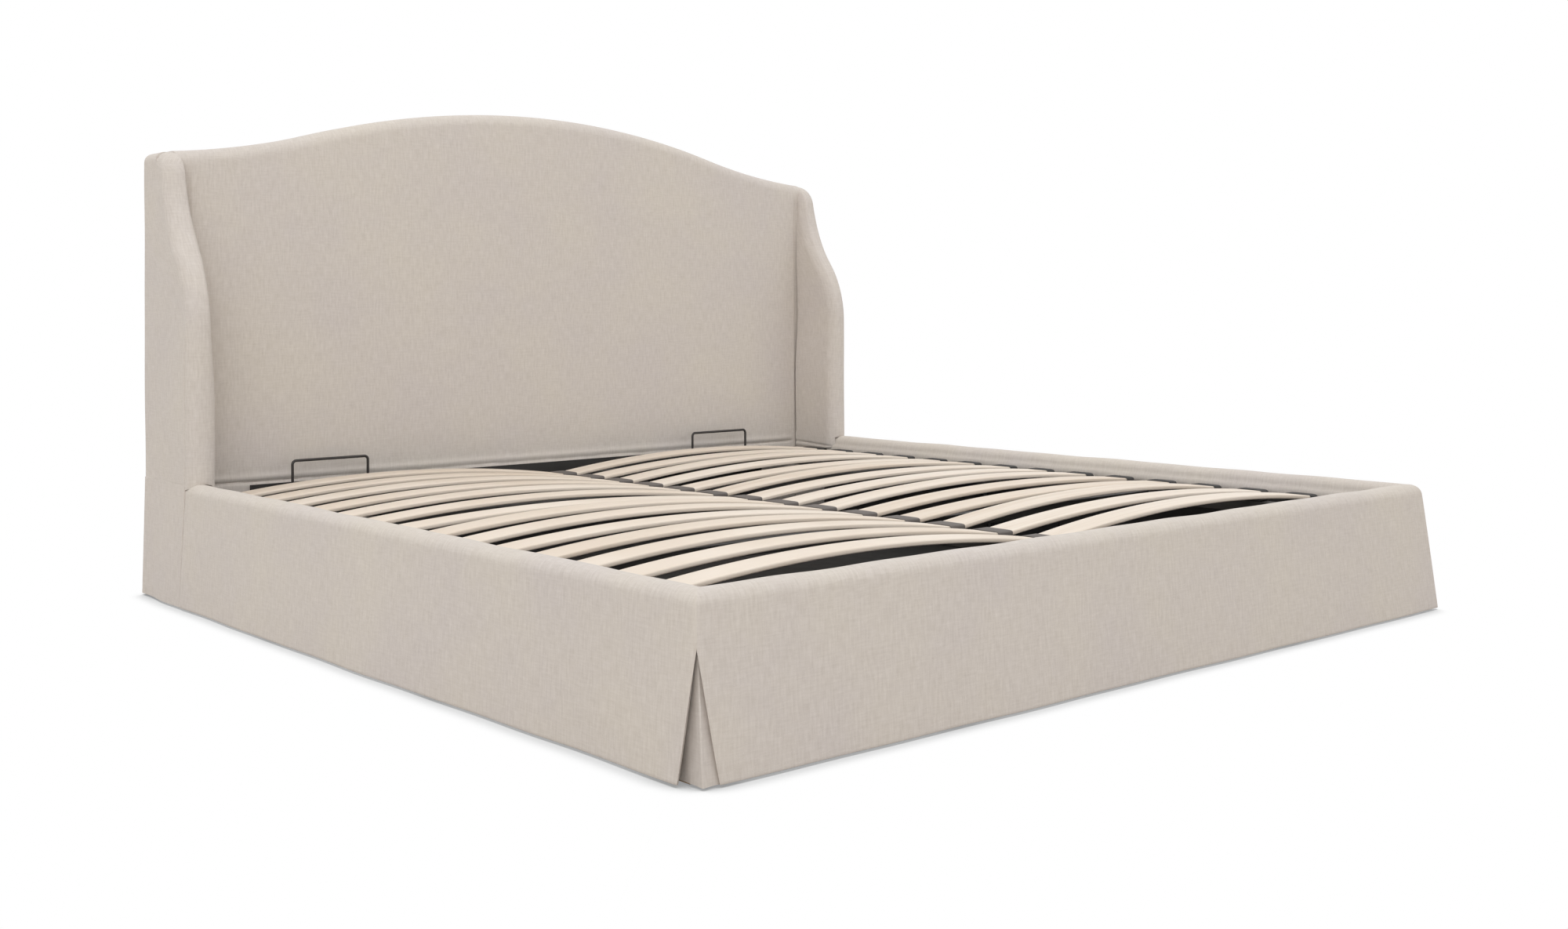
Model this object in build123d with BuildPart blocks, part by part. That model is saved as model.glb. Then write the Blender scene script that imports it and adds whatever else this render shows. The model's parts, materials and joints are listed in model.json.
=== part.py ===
import os
from math import cos, radians, sin, sqrt

from build123d import *

# A slip-covered storage bed with a winged camelback headboard, for a 2000 x 2000 mattress.
# +X is to the right seen from the foot, +Y points to the head, the floor is at Z = 0.

# Overall sizes
bed_width = 2120
bed_length = 2236
rail_height = 294
hem_gap = 4
hem_flare = 14
hem_t = 8

# Rails and their padded covers
cover_t = 14
rail_board_t = 26
cover_round = 24
cover_tuck_z = 190
foot_height = 30
pleat_top_z = 206
pleat_half = 32
pleat_cloth_t = 3.5
pleat_reach = 70
pleat_lap = 24

# Headboard and wings
headboard_t = 125
headboard_board_t = 36
headboard_back_t = 29
headboard_peak = 1253
headboard_shoulder = 1099
headboard_wrap = 16
headboard_round = 34
headboard_pad_bottom = 40
crown_radius = 2430
crown_half = 650
wing_t = 70
wing_depth = 266
wing_nose = 35
wing_round = 33
wing_bend_z = 662
wing_back_wrap = 25
front_radius = 300
front_sweep = 38
shoulder_radius = 400
shoulder_sweep = 30
top_radius = 68
quarter_turn = 90

# Storage box
lining_t = 6
lining_top = 253
head_lining_top = 265
lining_end_gap = 15
head_lining_gap = 150
bearer_height = 24
bearer_width = 60
bearer_count = 3
bearer_pitch = 700
bearer_end_gap = 15
panel_t = 9
panel_split = 1

# Feet and joining brackets
rail_foot_length = 80
rail_foot_count = 3
rail_foot_pitch = 700
rail_foot_first = 61
cross_foot_x = 500
bracket_t = 4
bracket_leg = 60
bracket_height = 110
bracket_z = 115
plate_length = 170
bolt_d = 8
bolt_hole = 8.2
bolt_head_d = 15
bolt_head_t = 4
lift_head_t = 3
bolt_edge = 22
bolt_spread = 60

# Sprung platform
tube_size = 30
tube_wall = 2
tube_round = 3
platform_z = 205
lift_room = 50
platform_foot_gap = 16
platform_head_gap = 19
cross_tube_y = 430
slat_pitch = 132.8
slat_first_gap = 146
slat_foot_gap = 60
slat_width = 70
slat_t = 10
slat_bow = 27
slat_rise = 12
slat_seat = 22
centre_seat = 14
slat_sit = 1.1
holder_length = 76
holder_height = 16
holder_depth = 30
centre_half = 22
holder_floor = 1.5
slat_clear = 0.4

# Mattress retainers
wire_d = 7
retainer_inset = 309
retainer_half = 104
retainer_top = 326
retainer_bend = 10

# Lift mechanism: an arm as long as the arm's distance to the glide, so the glide runs level
arm_length = 420
arm_rest_angle = 6
lift_range = 36
arm_t = 6
arm_end_r = 20
arm_strut_r = 15
glide_setback = 180
plate_t = 4
plate_edge = 45
plate_base_gap = 3
arm_gap = 4
pivot_d = 12
pivot_collar_d = 20
pivot_cap_d = 18
pivot_cap_t = 3
pivot_flange_d = 28
pivot_flange_t = 4
pin_clear = 0.05
side_clear = 0.3
glide_d = 24
glide_t = 10
glide_pin_d = 10
glide_plate_t = 5
glide_plate_w = 50
channel_t = 3
channel_depth = 15
channel_clear = 0.3
channel_end_room = 14
channel_tab = 30
rest_length = 45
rest_width = 90
rest_height = 53
rest_pad_t = 1.7
rest_pad_w = 60

# Gas struts
strut_lever = 221
strut_lug_angle = 8
strut_low_angle = 36
strut_pin_d = 10
strut_eye_d = 20
strut_eye_t = 10
strut_arm_gap = 9
strut_d = 20
strut_bore = 16
strut_neck = 14
strut_end_wall = 6
strut_mouth = 150
strut_gland = 5
gland_clear = 0.4
rod_d = 8
piston_d = 15.2
piston_t = 4
piston_margin = 4

# Planes that the pieces share
half_w = bed_width / 2
foot_y = hem_flare - (bed_length + hem_flare) / 2
head_y = foot_y + bed_length
board_out = half_w - cover_t
board_in = board_out - rail_board_t
rail_in = board_in - cover_t
rail_board_top = rail_height - cover_t
seam_y = head_y - wing_depth
face_y = head_y - headboard_t
board_back_y = head_y - headboard_back_t
board_face_y = board_back_y - headboard_board_t
wing_in = half_w - wing_t
nose_y = seam_y - wing_nose
lining_in = rail_in - lining_t
foot_board_in = foot_y + cover_t + rail_board_t
foot_in = foot_board_in + cover_t
foot_lining_in = foot_in + lining_t
head_lining_in = face_y - lining_t
head_lining_half = wing_in - head_lining_gap
floor_z = bearer_height + panel_t
bolt_zs = [bracket_z - bolt_spread / 2, bracket_z + bolt_spread / 2]
rail_plate_ys = [seam_y - plate_length / 2 + bolt_edge, seam_y + plate_length / 2 - bolt_edge]
corner_bolt_y = foot_board_in + bracket_leg - bolt_edge
corner_bolt_x = board_in - bracket_leg + bolt_edge

# Platform levels and ends
platform_half = lining_in - lift_room
tube_top = platform_z + tube_size
tube_mid = platform_z + tube_size / 2
platform_foot = foot_lining_in + platform_foot_gap
platform_head = head_lining_in - platform_head_gap
holder_mid = tube_top + holder_height / 2
holder_in = platform_half - holder_depth
slat_y0 = face_y - slat_first_gap
slat_end_y = platform_foot + tube_size + slat_foot_gap + slat_width / 2
slat_count = int((slat_y0 - slat_end_y) / slat_pitch) + 1
slat_ys = [slat_y0 - slat_pitch * i for i in range(slat_count)]
slat_inner = centre_half - centre_seat
slat_outer = platform_half - holder_depth + slat_seat
side_holder_height = holder_height + slat_rise

# Lift pivots, in the plane of one side: O on the rail, A on the platform, G and S for the strut
glide_y = platform_head - glide_setback
pivot_z = tube_mid - arm_length * sin(radians(arm_rest_angle))
pivot_y = glide_y - 2 * arm_length * cos(radians(arm_rest_angle))
arm_y = pivot_y + arm_length * cos(radians(arm_rest_angle))
arm_z = tube_mid
lug_angle = arm_rest_angle + strut_lug_angle
strut_top_y = pivot_y + strut_lever * cos(radians(lug_angle))
strut_top_z = pivot_z + strut_lever * sin(radians(lug_angle))
strut_low_y = pivot_y + strut_lever * cos(radians(strut_low_angle))
strut_low_z = pivot_z - strut_lever * sin(radians(strut_low_angle))
glide_travel = 2 * arm_length * (
    cos(radians(arm_rest_angle)) - cos(radians(arm_rest_angle + lift_range))
)

# Sideways layers of the lift, from the lining inwards
plate_in = lining_in - plate_t
arm_out = plate_in - arm_gap
arm_in = arm_out - arm_t
strut_x = arm_in - strut_arm_gap - strut_eye_t / 2
pin_end = strut_x - strut_eye_t / 2 - side_clear
glide_out = lining_in - channel_t - side_clear
lift_bolt_spots = [
    (pivot_y - plate_edge / 2, strut_low_z),
    (pivot_y + strut_lever / 2, bracket_z),
    (strut_low_y + plate_edge / 2, bracket_z),
]
channel_head = glide_y + glide_d / 2 + channel_end_room
channel_foot = glide_y - glide_travel - glide_d / 2 - channel_end_room
channel_bolt_ys = [channel_foot - channel_tab / 2, channel_head + channel_tab / 2]

# Strut lengths shut and open, from the two equal levers
lever_angle = lug_angle + strut_low_angle
strut_shut = 2 * strut_lever * sin(radians(lever_angle / 2))
strut_open = 2 * strut_lever * sin(radians((lever_angle + lift_range) / 2))
rod_length = strut_open - strut_mouth + strut_gland + piston_margin + piston_t
strut_dir = Vector(0, strut_top_y - strut_low_y, strut_top_z - strut_low_z).normalized()

os.makedirs("parts", exist_ok=True)


def save(piece, name):
    piece.label = name
    export_step(piece, f"parts/{name}.step")


def save_pair(right, name):
    with BuildPart() as left:
        mirror(right.part, about=Plane.YZ)
    save(right.part, f"{name}_r")
    save(left.part, f"{name}_l")


def block(x0, x1, y0, y1, z0, z1, mode=Mode.ADD):
    with Locations(((x0 + x1) / 2, (y0 + y1) / 2, (z0 + z1) / 2)):
        Box(x1 - x0, y1 - y0, z1 - z0, mode=mode)


def rod_x(diameter, x0, x1, y, z, mode=Mode.ADD):
    with Locations(Plane.YZ.offset(x0)):
        with Locations((y, z)):
            Cylinder(diameter / 2, x1 - x0, align=(Align.CENTER, Align.CENTER, Align.MIN), mode=mode)


def rod_y(diameter, x, y0, y1, z, mode=Mode.ADD):
    with Locations(Plane.XZ.offset(-y1)):
        with Locations((x, z)):
            Cylinder(diameter / 2, y1 - y0, align=(Align.CENTER, Align.CENTER, Align.MIN), mode=mode)


# Headboard: a board with a camelback top, a thick pad over its face and a covered back
def camelback(drop, bottom):
    peak = headboard_peak - drop
    end = headboard_shoulder - drop
    rise = sqrt(crown_radius**2 - crown_half**2)
    crown_end = peak - crown_radius + rise
    with BuildLine() as outline:
        ThreePointArc((-crown_half, crown_end), (0, peak), (crown_half, crown_end))
        TangentArc((crown_half, crown_end), (board_in, end), tangent=(rise, -crown_half))
        Polyline((board_in, end), (board_in, bottom), (-board_in, bottom), (-board_in, end))
        TangentArc((-crown_half, crown_end), (-board_in, end), tangent=(-rise, -crown_half))
    return outline.edges()


with BuildPart() as headboard_board:
    with BuildSketch(Plane.XZ.offset(-board_face_y)):
        make_face(camelback(headboard_wrap, foot_height))
    extrude(amount=-headboard_board_t)

with BuildPart() as headboard_pad:
    with BuildSketch(Plane.XZ.offset(-face_y)):
        make_face(camelback(0, headboard_pad_bottom))
    extrude(amount=face_y - board_back_y)
    front = headboard_pad.edges().filter_by(GeomType.CIRCLE).group_by(Axis.Y)[0]
    fillet(front, headboard_round)
    with BuildSketch(Plane.XZ.offset(-board_face_y)):
        make_face(camelback(headboard_wrap, headboard_pad_bottom))
    extrude(amount=-headboard_board_t, mode=Mode.SUBTRACT)

with BuildPart() as headboard_back:
    with BuildSketch(Plane.XZ.offset(-board_back_y)):
        make_face(camelback(0, hem_gap))
    extrude(amount=-headboard_back_t)
    back = headboard_back.edges().filter_by(GeomType.CIRCLE).group_by(Axis.Y)[-1]
    fillet(back, headboard_back_t - pleat_cloth_t)

save(headboard_board.part, "headboard_board")
save(headboard_pad.part, "headboard_pad")
save(headboard_back.part, "headboard_back")


# Wings: a board in each, wrapped in a pad with a round nose that sweeps back at the shoulder
def wing_outline(inset, bottom, back):
    with BuildLine() as outline:
        rise = Line((nose_y + inset, bottom), (nose_y + inset, wing_bend_z))
        sweep_back = JernArc(rise @ 1, rise % 1, front_radius - inset, -front_sweep)
        sweep_up = JernArc(sweep_back @ 1, sweep_back % 1, shoulder_radius + inset, shoulder_sweep)
        turn = front_sweep - shoulder_sweep - quarter_turn
        top = JernArc(sweep_up @ 1, sweep_up % 1, top_radius - inset, turn)
        Polyline(top @ 1, (back, (top @ 1).Y), (back, bottom), rise @ 0)
    return outline.edges()


with BuildPart() as wing_board:
    with BuildSketch(Plane.YZ.offset(board_in)):
        make_face(wing_outline(wing_nose, foot_height, head_y - wing_back_wrap))
    extrude(amount=rail_board_t)
    for z in bolt_zs:
        rod_x(bolt_hole, board_in, board_out, rail_plate_ys[1], z, mode=Mode.SUBTRACT)

with BuildPart() as wing_pad:
    with BuildSketch(Plane.YZ.offset(wing_in)):
        make_face(wing_outline(0, rail_height, head_y))
    extrude(amount=wing_t)
    nose_edges = wing_pad.edges().filter_by(Axis.X, reverse=True)
    sides = nose_edges.group_by(Axis.X)[0] + nose_edges.group_by(Axis.X)[-1]
    round_edges = [e for e in sides if (e @ 0.5).Z > rail_height + 1 and (e @ 0.5).Y < head_y - 1]
    fillet(round_edges, wing_round)
    block(rail_in, board_in, seam_y, face_y, cover_tuck_z, rail_height)
    block(wing_in, rail_in, seam_y + lining_end_gap + side_clear, face_y, cover_tuck_z, rail_height)
    with BuildSketch(Plane.XZ.offset(-seam_y)):
        with BuildLine():
            Polyline(
                (board_out, rail_height),
                (half_w, rail_height),
                (half_w + hem_flare, hem_gap),
                (half_w + hem_flare - hem_t, hem_gap),
                close=True,
            )
        make_face()
    extrude(amount=-wing_depth)
    block(wing_in, board_in, face_y, head_y, rail_height, headboard_peak, mode=Mode.SUBTRACT)
    with BuildSketch(Plane.YZ.offset(board_in)):
        make_face(wing_outline(wing_nose, foot_height, head_y - wing_back_wrap))
    extrude(amount=rail_board_t, mode=Mode.SUBTRACT)

save_pair(wing_board, "wing_board")
save_pair(wing_pad, "wing_pad")

# Rails: boards bolted at the corners
with BuildPart() as side_rail:
    block(board_in, board_out, foot_y + cover_t, seam_y, foot_height, rail_board_top)
    for z in bolt_zs:
        for y in (corner_bolt_y, rail_plate_ys[0]):
            rod_x(bolt_hole, board_in, board_out, y, z, mode=Mode.SUBTRACT)
    for y, z in lift_bolt_spots + [(y, pivot_z) for y in channel_bolt_ys]:
        rod_x(bolt_hole, board_in, board_out, y, z, mode=Mode.SUBTRACT)

with BuildPart() as foot_rail:
    block(-board_in, board_in, foot_y + cover_t, foot_board_in, foot_height, rail_board_top)
    for x in (-corner_bolt_x, corner_bolt_x):
        for z in bolt_zs:
            rod_y(bolt_hole, x, foot_y + cover_t, foot_board_in, z, mode=Mode.SUBTRACT)

save_pair(side_rail, "side_rail")
save(foot_rail.part, "foot_rail")


# Rail covers: padded over the top, tucked inside and hanging to the floor outside
def cover_profile(outer):
    with BuildLine() as outline:
        Polyline(
            (outer - half_w + rail_in, cover_tuck_z),
            (outer - half_w + rail_in, rail_height),
            (outer, rail_height),
            (outer + hem_flare, hem_gap),
            (outer + hem_flare - hem_t, hem_gap),
            (outer - cover_t, rail_board_top),
            (outer - half_w + board_in, rail_board_top),
            (outer - half_w + board_in, cover_tuck_z),
            close=True,
        )
    return outline.edges()


def pleat_wedge(corner):
    with BuildLine() as outline:
        Polyline(
            (corner, pleat_top_z),
            (corner - pleat_half, 0),
            (corner + hem_flare + pleat_half, 0),
            (corner + hem_flare + pleat_half, pleat_top_z),
            close=True,
        )
    return outline.edges()


mitre_r = Plane(origin=(half_w, foot_y, 0), x_dir=(0, 0, 1), z_dir=(1, 1, 0))
mitre_l = Plane(origin=(-half_w, foot_y, 0), x_dir=(0, 0, 1), z_dir=(-1, 1, 0))
flap_room = hem_flare + pleat_half

with BuildPart() as side_cover:
    with BuildSketch(Plane.XZ.offset(-seam_y)) as side_section:
        make_face(cover_profile(half_w))
        fillet(side_section.vertices().group_by(Axis.Y)[-1], cover_round)
    extrude(amount=seam_y - foot_y + flap_room)
    split(bisect_by=mitre_r, keep=Keep.TOP)
    with BuildSketch(Plane((board_out, 0, 0), x_dir=(0, -1, 0), z_dir=(-1, 0, 0))):
        make_face(pleat_wedge(-foot_y))
    extrude(amount=-flap_room, mode=Mode.SUBTRACT)

with BuildPart() as foot_cover:
    foot_plane = Plane((-half_w - flap_room, 0, 0), x_dir=(0, -1, 0), z_dir=(-1, 0, 0))
    with BuildSketch(foot_plane) as foot_section:
        make_face(cover_profile(-foot_y))
        fillet(foot_section.vertices().group_by(Axis.Y)[-1], cover_round)
    extrude(amount=-bed_width - 2 * flap_room)
    split(bisect_by=mitre_r, keep=Keep.BOTTOM)
    split(bisect_by=mitre_l, keep=Keep.BOTTOM)
    with BuildSketch(Plane.XZ.offset(-foot_y - cover_t)) as wedges:
        make_face(pleat_wedge(half_w))
        mirror(about=Plane.YZ)
    extrude(amount=flap_room, mode=Mode.SUBTRACT)

# A folded insert shows between the flaps where each foot corner opens
with BuildPart() as corner_pleat:
    pleat_out = board_out + pleat_cloth_t
    pleat_front = foot_y + cover_t - pleat_cloth_t
    pleat_z1 = pleat_top_z + pleat_lap
    block(board_out, pleat_out, pleat_front, pleat_front + pleat_reach, hem_gap, pleat_z1)
    block(pleat_out - pleat_reach, board_out, pleat_front, foot_y + cover_t, hem_gap, pleat_z1)

save_pair(side_cover, "side_cover")
save(foot_cover.part, "foot_cover")
save_pair(corner_pleat, "corner_pleat")

# Storage box: black lining boards round a floor on bearers
with BuildPart() as side_lining:
    block(lining_in, rail_in, foot_in, seam_y + lining_end_gap, bearer_height, lining_top)
    for y, z in lift_bolt_spots + [(y, pivot_z) for y in channel_bolt_ys]:
        rod_x(bolt_hole, lining_in, rail_in, y, z, mode=Mode.SUBTRACT)

with BuildPart() as head_lining:
    block(-head_lining_half, head_lining_half, head_lining_in, face_y, bearer_height, head_lining_top)

with BuildPart() as foot_lining:
    block(-lining_in, lining_in, foot_in, foot_lining_in, bearer_height, lining_top)

with BuildPart() as base_panel:
    block(panel_split / 2, lining_in, foot_lining_in, head_lining_in, bearer_height, floor_z)

with BuildPart() as base_bearers:
    with GridLocations(0, bearer_pitch, 1, bearer_count):
        Box(
            2 * (lining_in - bearer_end_gap),
            bearer_width,
            bearer_height,
            align=(Align.CENTER, Align.CENTER, Align.MIN),
        )

save_pair(side_lining, "side_lining")
save(head_lining.part, "head_lining")
save(foot_lining.part, "foot_lining")
save_pair(base_panel, "base_panel")
save(base_bearers.part, "base_bearers")

# Feet under the rails, the wings and the headboard
with BuildPart() as feet:
    first_foot = foot_y + cover_t + rail_foot_first
    side_feet = [first_foot + rail_foot_pitch * i for i in range(rail_foot_count)]
    wing_foot = head_y - wing_back_wrap - rail_foot_length / 2
    for side in (-1, 1):
        spots = [(side * (board_in + rail_board_t / 2), y) for y in side_feet + [wing_foot]]
        for x, y in spots:
            with Locations((x, y, foot_height / 2)):
                Box(rail_board_t, rail_foot_length, foot_height)
        with Locations((side * cross_foot_x, foot_board_in - rail_board_t / 2, foot_height / 2)):
            Box(rail_foot_length, rail_board_t, foot_height)
        with Locations((side * cross_foot_x, board_back_y - headboard_board_t / 2, foot_height / 2)):
            Box(rail_foot_length, headboard_board_t, foot_height)

save(feet.part, "feet")

# Steel corner angles at the foot, flat plates across the joint to each wing, and their bolts
bracket_z0 = bracket_z - bracket_height / 2
bracket_z1 = bracket_z + bracket_height / 2
bracket_in = board_in - bracket_t
with BuildPart() as corner_bracket:
    block(bracket_in, board_in, foot_board_in, foot_board_in + bracket_leg, bracket_z0, bracket_z1)
    block(
        board_in - bracket_leg, bracket_in, foot_board_in, foot_board_in + bracket_t, bracket_z0, bracket_z1
    )
    for z in bolt_zs:
        rod_x(bolt_hole, bracket_in, board_in, corner_bolt_y, z, mode=Mode.SUBTRACT)
        rod_y(bolt_hole, corner_bolt_x, foot_board_in, foot_board_in + bracket_t, z, mode=Mode.SUBTRACT)

with BuildPart() as rail_plate:
    block(
        bracket_in, board_in, seam_y - plate_length / 2, seam_y + plate_length / 2, bracket_z0, bracket_z1
    )
    for z in bolt_zs:
        for y in rail_plate_ys:
            rod_x(bolt_hole, bracket_in, board_in, y, z, mode=Mode.SUBTRACT)

with BuildPart() as frame_bolts:
    for z in bolt_zs:
        for y in [corner_bolt_y] + rail_plate_ys:
            rod_x(bolt_d, bracket_in, board_out, y, z)
            rod_x(bolt_head_d, bracket_in - bolt_head_t, bracket_in, y, z)
        head_y0 = foot_board_in + bracket_t
        rod_y(bolt_d, corner_bolt_x, foot_y + cover_t, head_y0, z)
        rod_y(bolt_head_d, corner_bolt_x, head_y0, head_y0 + bolt_head_t, z)
    mirror(about=Plane.YZ)

save_pair(corner_bracket, "corner_bracket")
save_pair(rail_plate, "rail_plate")
save(frame_bolts.part, "frame_bolts")

# Lift plate on each side, with the studs that the arm and the strut turn on
with BuildPart() as lift_plate:
    block(
        plate_in,
        lining_in,
        pivot_y - plate_edge,
        strut_low_y + plate_edge,
        floor_z + plate_base_gap,
        pivot_z + plate_edge,
    )
    for y, z in lift_bolt_spots:
        rod_x(bolt_hole, plate_in, lining_in, y, z, mode=Mode.SUBTRACT)
    rod_x(pivot_collar_d, arm_out + side_clear, plate_in, pivot_y, pivot_z)
    rod_x(pivot_d, arm_in - side_clear, plate_in, pivot_y, pivot_z)
    rod_x(pivot_cap_d, arm_in - side_clear - pivot_cap_t, arm_in - side_clear, pivot_y, pivot_z)
    rod_x(strut_pin_d, pin_end, plate_in, strut_low_y, strut_low_z)

# Level channel for the glide, with a bolted tab at each end
channel_half = glide_d / 2 + channel_clear
channel_in = lining_in - channel_depth
with BuildPart() as slide_channel:
    block(
        lining_in - channel_t,
        lining_in,
        channel_foot - channel_tab,
        channel_head + channel_tab,
        pivot_z - channel_half - channel_t,
        pivot_z + channel_half + channel_t,
    )
    for z0 in (pivot_z - channel_half - channel_t, pivot_z + channel_half):
        block(channel_in, lining_in, channel_foot, channel_head, z0, z0 + channel_t)
    for y in channel_bolt_ys:
        rod_x(bolt_hole, lining_in - channel_t, lining_in, y, pivot_z, mode=Mode.SUBTRACT)

with BuildPart() as lift_bolts:
    for y, z in lift_bolt_spots:
        rod_x(bolt_d, plate_in, board_out, y, z)
        rod_x(bolt_head_d, plate_in - lift_head_t, plate_in, y, z)
    for y in channel_bolt_ys:
        rod_x(bolt_d, lining_in - channel_t, board_out, y, pivot_z)
        rod_x(bolt_head_d, lining_in - channel_t - lift_head_t, lining_in - channel_t, y, pivot_z)
    mirror(about=Plane.YZ)

with BuildPart() as platform_rest:
    rest_top = platform_z - side_clear - rest_pad_t
    block(
        lining_in - rest_width,
        lining_in,
        foot_lining_in,
        foot_lining_in + rest_length,
        rest_top - rest_height,
        rest_top,
    )

with BuildPart() as rest_pads:
    pad_mid = platform_half - tube_size / 2
    block(
        pad_mid - rest_pad_w / 2,
        pad_mid + rest_pad_w / 2,
        foot_lining_in,
        foot_lining_in + rest_length,
        rest_top,
        rest_top + rest_pad_t,
    )
    mirror(about=Plane.YZ)

save_pair(lift_plate, "lift_plate")
save_pair(slide_channel, "slide_channel")
save(lift_bolts.part, "lift_bolts")
save_pair(platform_rest, "platform_rest")
save(rest_pads.part, "rest_pads")

# Lift arms: a plate from the rail's stud to the platform's, with a lug for the strut
with BuildPart() as lift_arm:
    with BuildSketch(Plane.YZ.offset(arm_in)):
        with Locations((pivot_y, pivot_z), (arm_y, arm_z)):
            Circle(arm_end_r)
        with Locations((strut_top_y, strut_top_z)):
            Circle(arm_strut_r)
        make_hull()
        with Locations((pivot_y, pivot_z), (arm_y, arm_z)):
            Circle(pivot_d / 2 + pin_clear, mode=Mode.SUBTRACT)
    extrude(amount=arm_t)
    rod_x(strut_pin_d, pin_end, arm_in, strut_top_y, strut_top_z)

save_pair(lift_arm, "lift_arm")

# Gas struts: a cylinder on the lift plate's low stud and a rod on the arm's stud
cylinder_plane = Plane((strut_x, strut_low_y, strut_low_z), x_dir=(1, 0, 0), z_dir=strut_dir)
rod_plane = Plane((strut_x, strut_top_y, strut_top_z), x_dir=(1, 0, 0), z_dir=-strut_dir)
eye_x = strut_x - strut_eye_t / 2
eye_hole = strut_pin_d + 2 * pin_clear
with BuildPart() as strut_cylinder:
    with BuildSketch(cylinder_plane.offset(strut_neck)):
        Circle(strut_d / 2)
    extrude(amount=strut_mouth - strut_neck)
    with BuildSketch(cylinder_plane.offset(strut_neck + strut_end_wall)):
        Circle(strut_bore / 2)
    extrude(amount=strut_mouth - strut_gland - strut_neck - strut_end_wall, mode=Mode.SUBTRACT)
    with BuildSketch(cylinder_plane.offset(strut_mouth - strut_gland)):
        Circle(rod_d / 2 + gland_clear)
    extrude(amount=strut_gland, mode=Mode.SUBTRACT)
    with BuildSketch(cylinder_plane):
        Rectangle(strut_eye_t, strut_eye_t)
    extrude(amount=strut_neck)
    rod_x(strut_eye_d, eye_x, eye_x + strut_eye_t, strut_low_y, strut_low_z)
    rod_x(eye_hole, eye_x, eye_x + strut_eye_t, strut_low_y, strut_low_z, mode=Mode.SUBTRACT)

with BuildPart() as strut_rod:
    with BuildSketch(rod_plane.offset(strut_pin_d / 2 + gland_clear)):
        Circle(rod_d / 2)
    extrude(amount=rod_length - strut_pin_d / 2 - gland_clear)
    with BuildSketch(rod_plane.offset(rod_length - piston_t)):
        Circle(piston_d / 2)
    extrude(amount=piston_t)
    rod_x(strut_eye_d, eye_x, eye_x + strut_eye_t, strut_top_y, strut_top_z)
    rod_x(eye_hole, eye_x, eye_x + strut_eye_t, strut_top_y, strut_top_z, mode=Mode.SUBTRACT)

save_pair(strut_cylinder, "strut_cylinder")
save_pair(strut_rod, "strut_rod")


# Platform frame: square steel tubes
def tube_section():
    RectangleRounded(tube_size, tube_size, tube_round)
    RectangleRounded(
        tube_size - 2 * tube_wall, tube_size - 2 * tube_wall, tube_round - tube_wall, mode=Mode.SUBTRACT
    )


def tube_x(x0, x1, y):
    with BuildSketch(Plane((x0, y, tube_mid), x_dir=(0, 1, 0), z_dir=(1, 0, 0))) as section:
        tube_section()
    extrude(section.sketch, amount=x1 - x0)


def tube_y(x, y0, y1):
    with BuildSketch(Plane((x, y0, tube_mid), x_dir=(0, 0, 1), z_dir=(0, 1, 0))) as section:
        tube_section()
    extrude(section.sketch, amount=y1 - y0)


side_tube_in = platform_half - tube_size
head_tube_y = platform_head - tube_size / 2
foot_tube_y = platform_foot + tube_size / 2
with BuildPart() as side_tube:
    tube_y(platform_half - tube_size / 2, platform_foot, platform_head)

with BuildPart() as head_tube:
    tube_x(-side_tube_in, side_tube_in, head_tube_y)

with BuildPart() as foot_tube:
    tube_x(-side_tube_in, side_tube_in, foot_tube_y)

with BuildPart() as centre_tube:
    tube_y(0, platform_foot + tube_size, platform_head - tube_size)

with BuildPart() as cross_tubes:
    for y in (-cross_tube_y, cross_tube_y):
        tube_x(tube_size / 2, side_tube_in, y)
    mirror(about=Plane.YZ)

save_pair(side_tube, "side_tube")
save(head_tube.part, "head_tube")
save(foot_tube.part, "foot_tube")
save(centre_tube.part, "centre_tube")
save(cross_tubes.part, "cross_tubes")

# Pivot studs and glide brackets on the outer faces of the side tubes
with BuildPart() as platform_pivot:
    rod_x(pivot_flange_d, platform_half, platform_half + pivot_flange_t, arm_y, arm_z)
    rod_x(pivot_d, platform_half, arm_out + side_clear, arm_y, arm_z)

with BuildPart() as glide_bracket:
    block(
        platform_half,
        platform_half + glide_plate_t,
        glide_y - glide_plate_w / 2,
        glide_y + glide_plate_w / 2,
        pivot_z - glide_d / 2,
        tube_top,
    )
    rod_x(glide_pin_d, platform_half + glide_plate_t, glide_out, glide_y, pivot_z)

with BuildPart() as glide_bushes:
    rod_x(glide_d, glide_out - glide_t, glide_out, glide_y, pivot_z)
    rod_x(
        glide_pin_d + 2 * pin_clear, glide_out - glide_t, glide_out, glide_y, pivot_z, mode=Mode.SUBTRACT
    )
    mirror(about=Plane.YZ)

save_pair(platform_pivot, "platform_pivot")
save_pair(glide_bracket, "glide_bracket")
save(glide_bushes.part, "glide_bushes")

# Bowed slats in two banks, sprung between rubber holders
slat_mid = (slat_inner + slat_outer) / 2
with BuildPart() as slats:
    for y in slat_ys:
        with BuildSketch(Plane.XZ.offset(-y - slat_width / 2)):
            with BuildLine():
                low = holder_mid - slat_sit - slat_t / 2
                side_low = low + slat_rise
                mid_low = (low + side_low) / 2 + slat_bow
                under = ThreePointArc((slat_inner, low), (slat_mid, mid_low), (slat_outer, side_low))
                over = ThreePointArc(
                    (slat_inner, low + slat_t), (slat_mid, mid_low + slat_t), (slat_outer, side_low + slat_t)
                )
                Line(under @ 0, over @ 0)
                Line(under @ 1, over @ 1)
            make_face()
        extrude(amount=slat_width)

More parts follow.
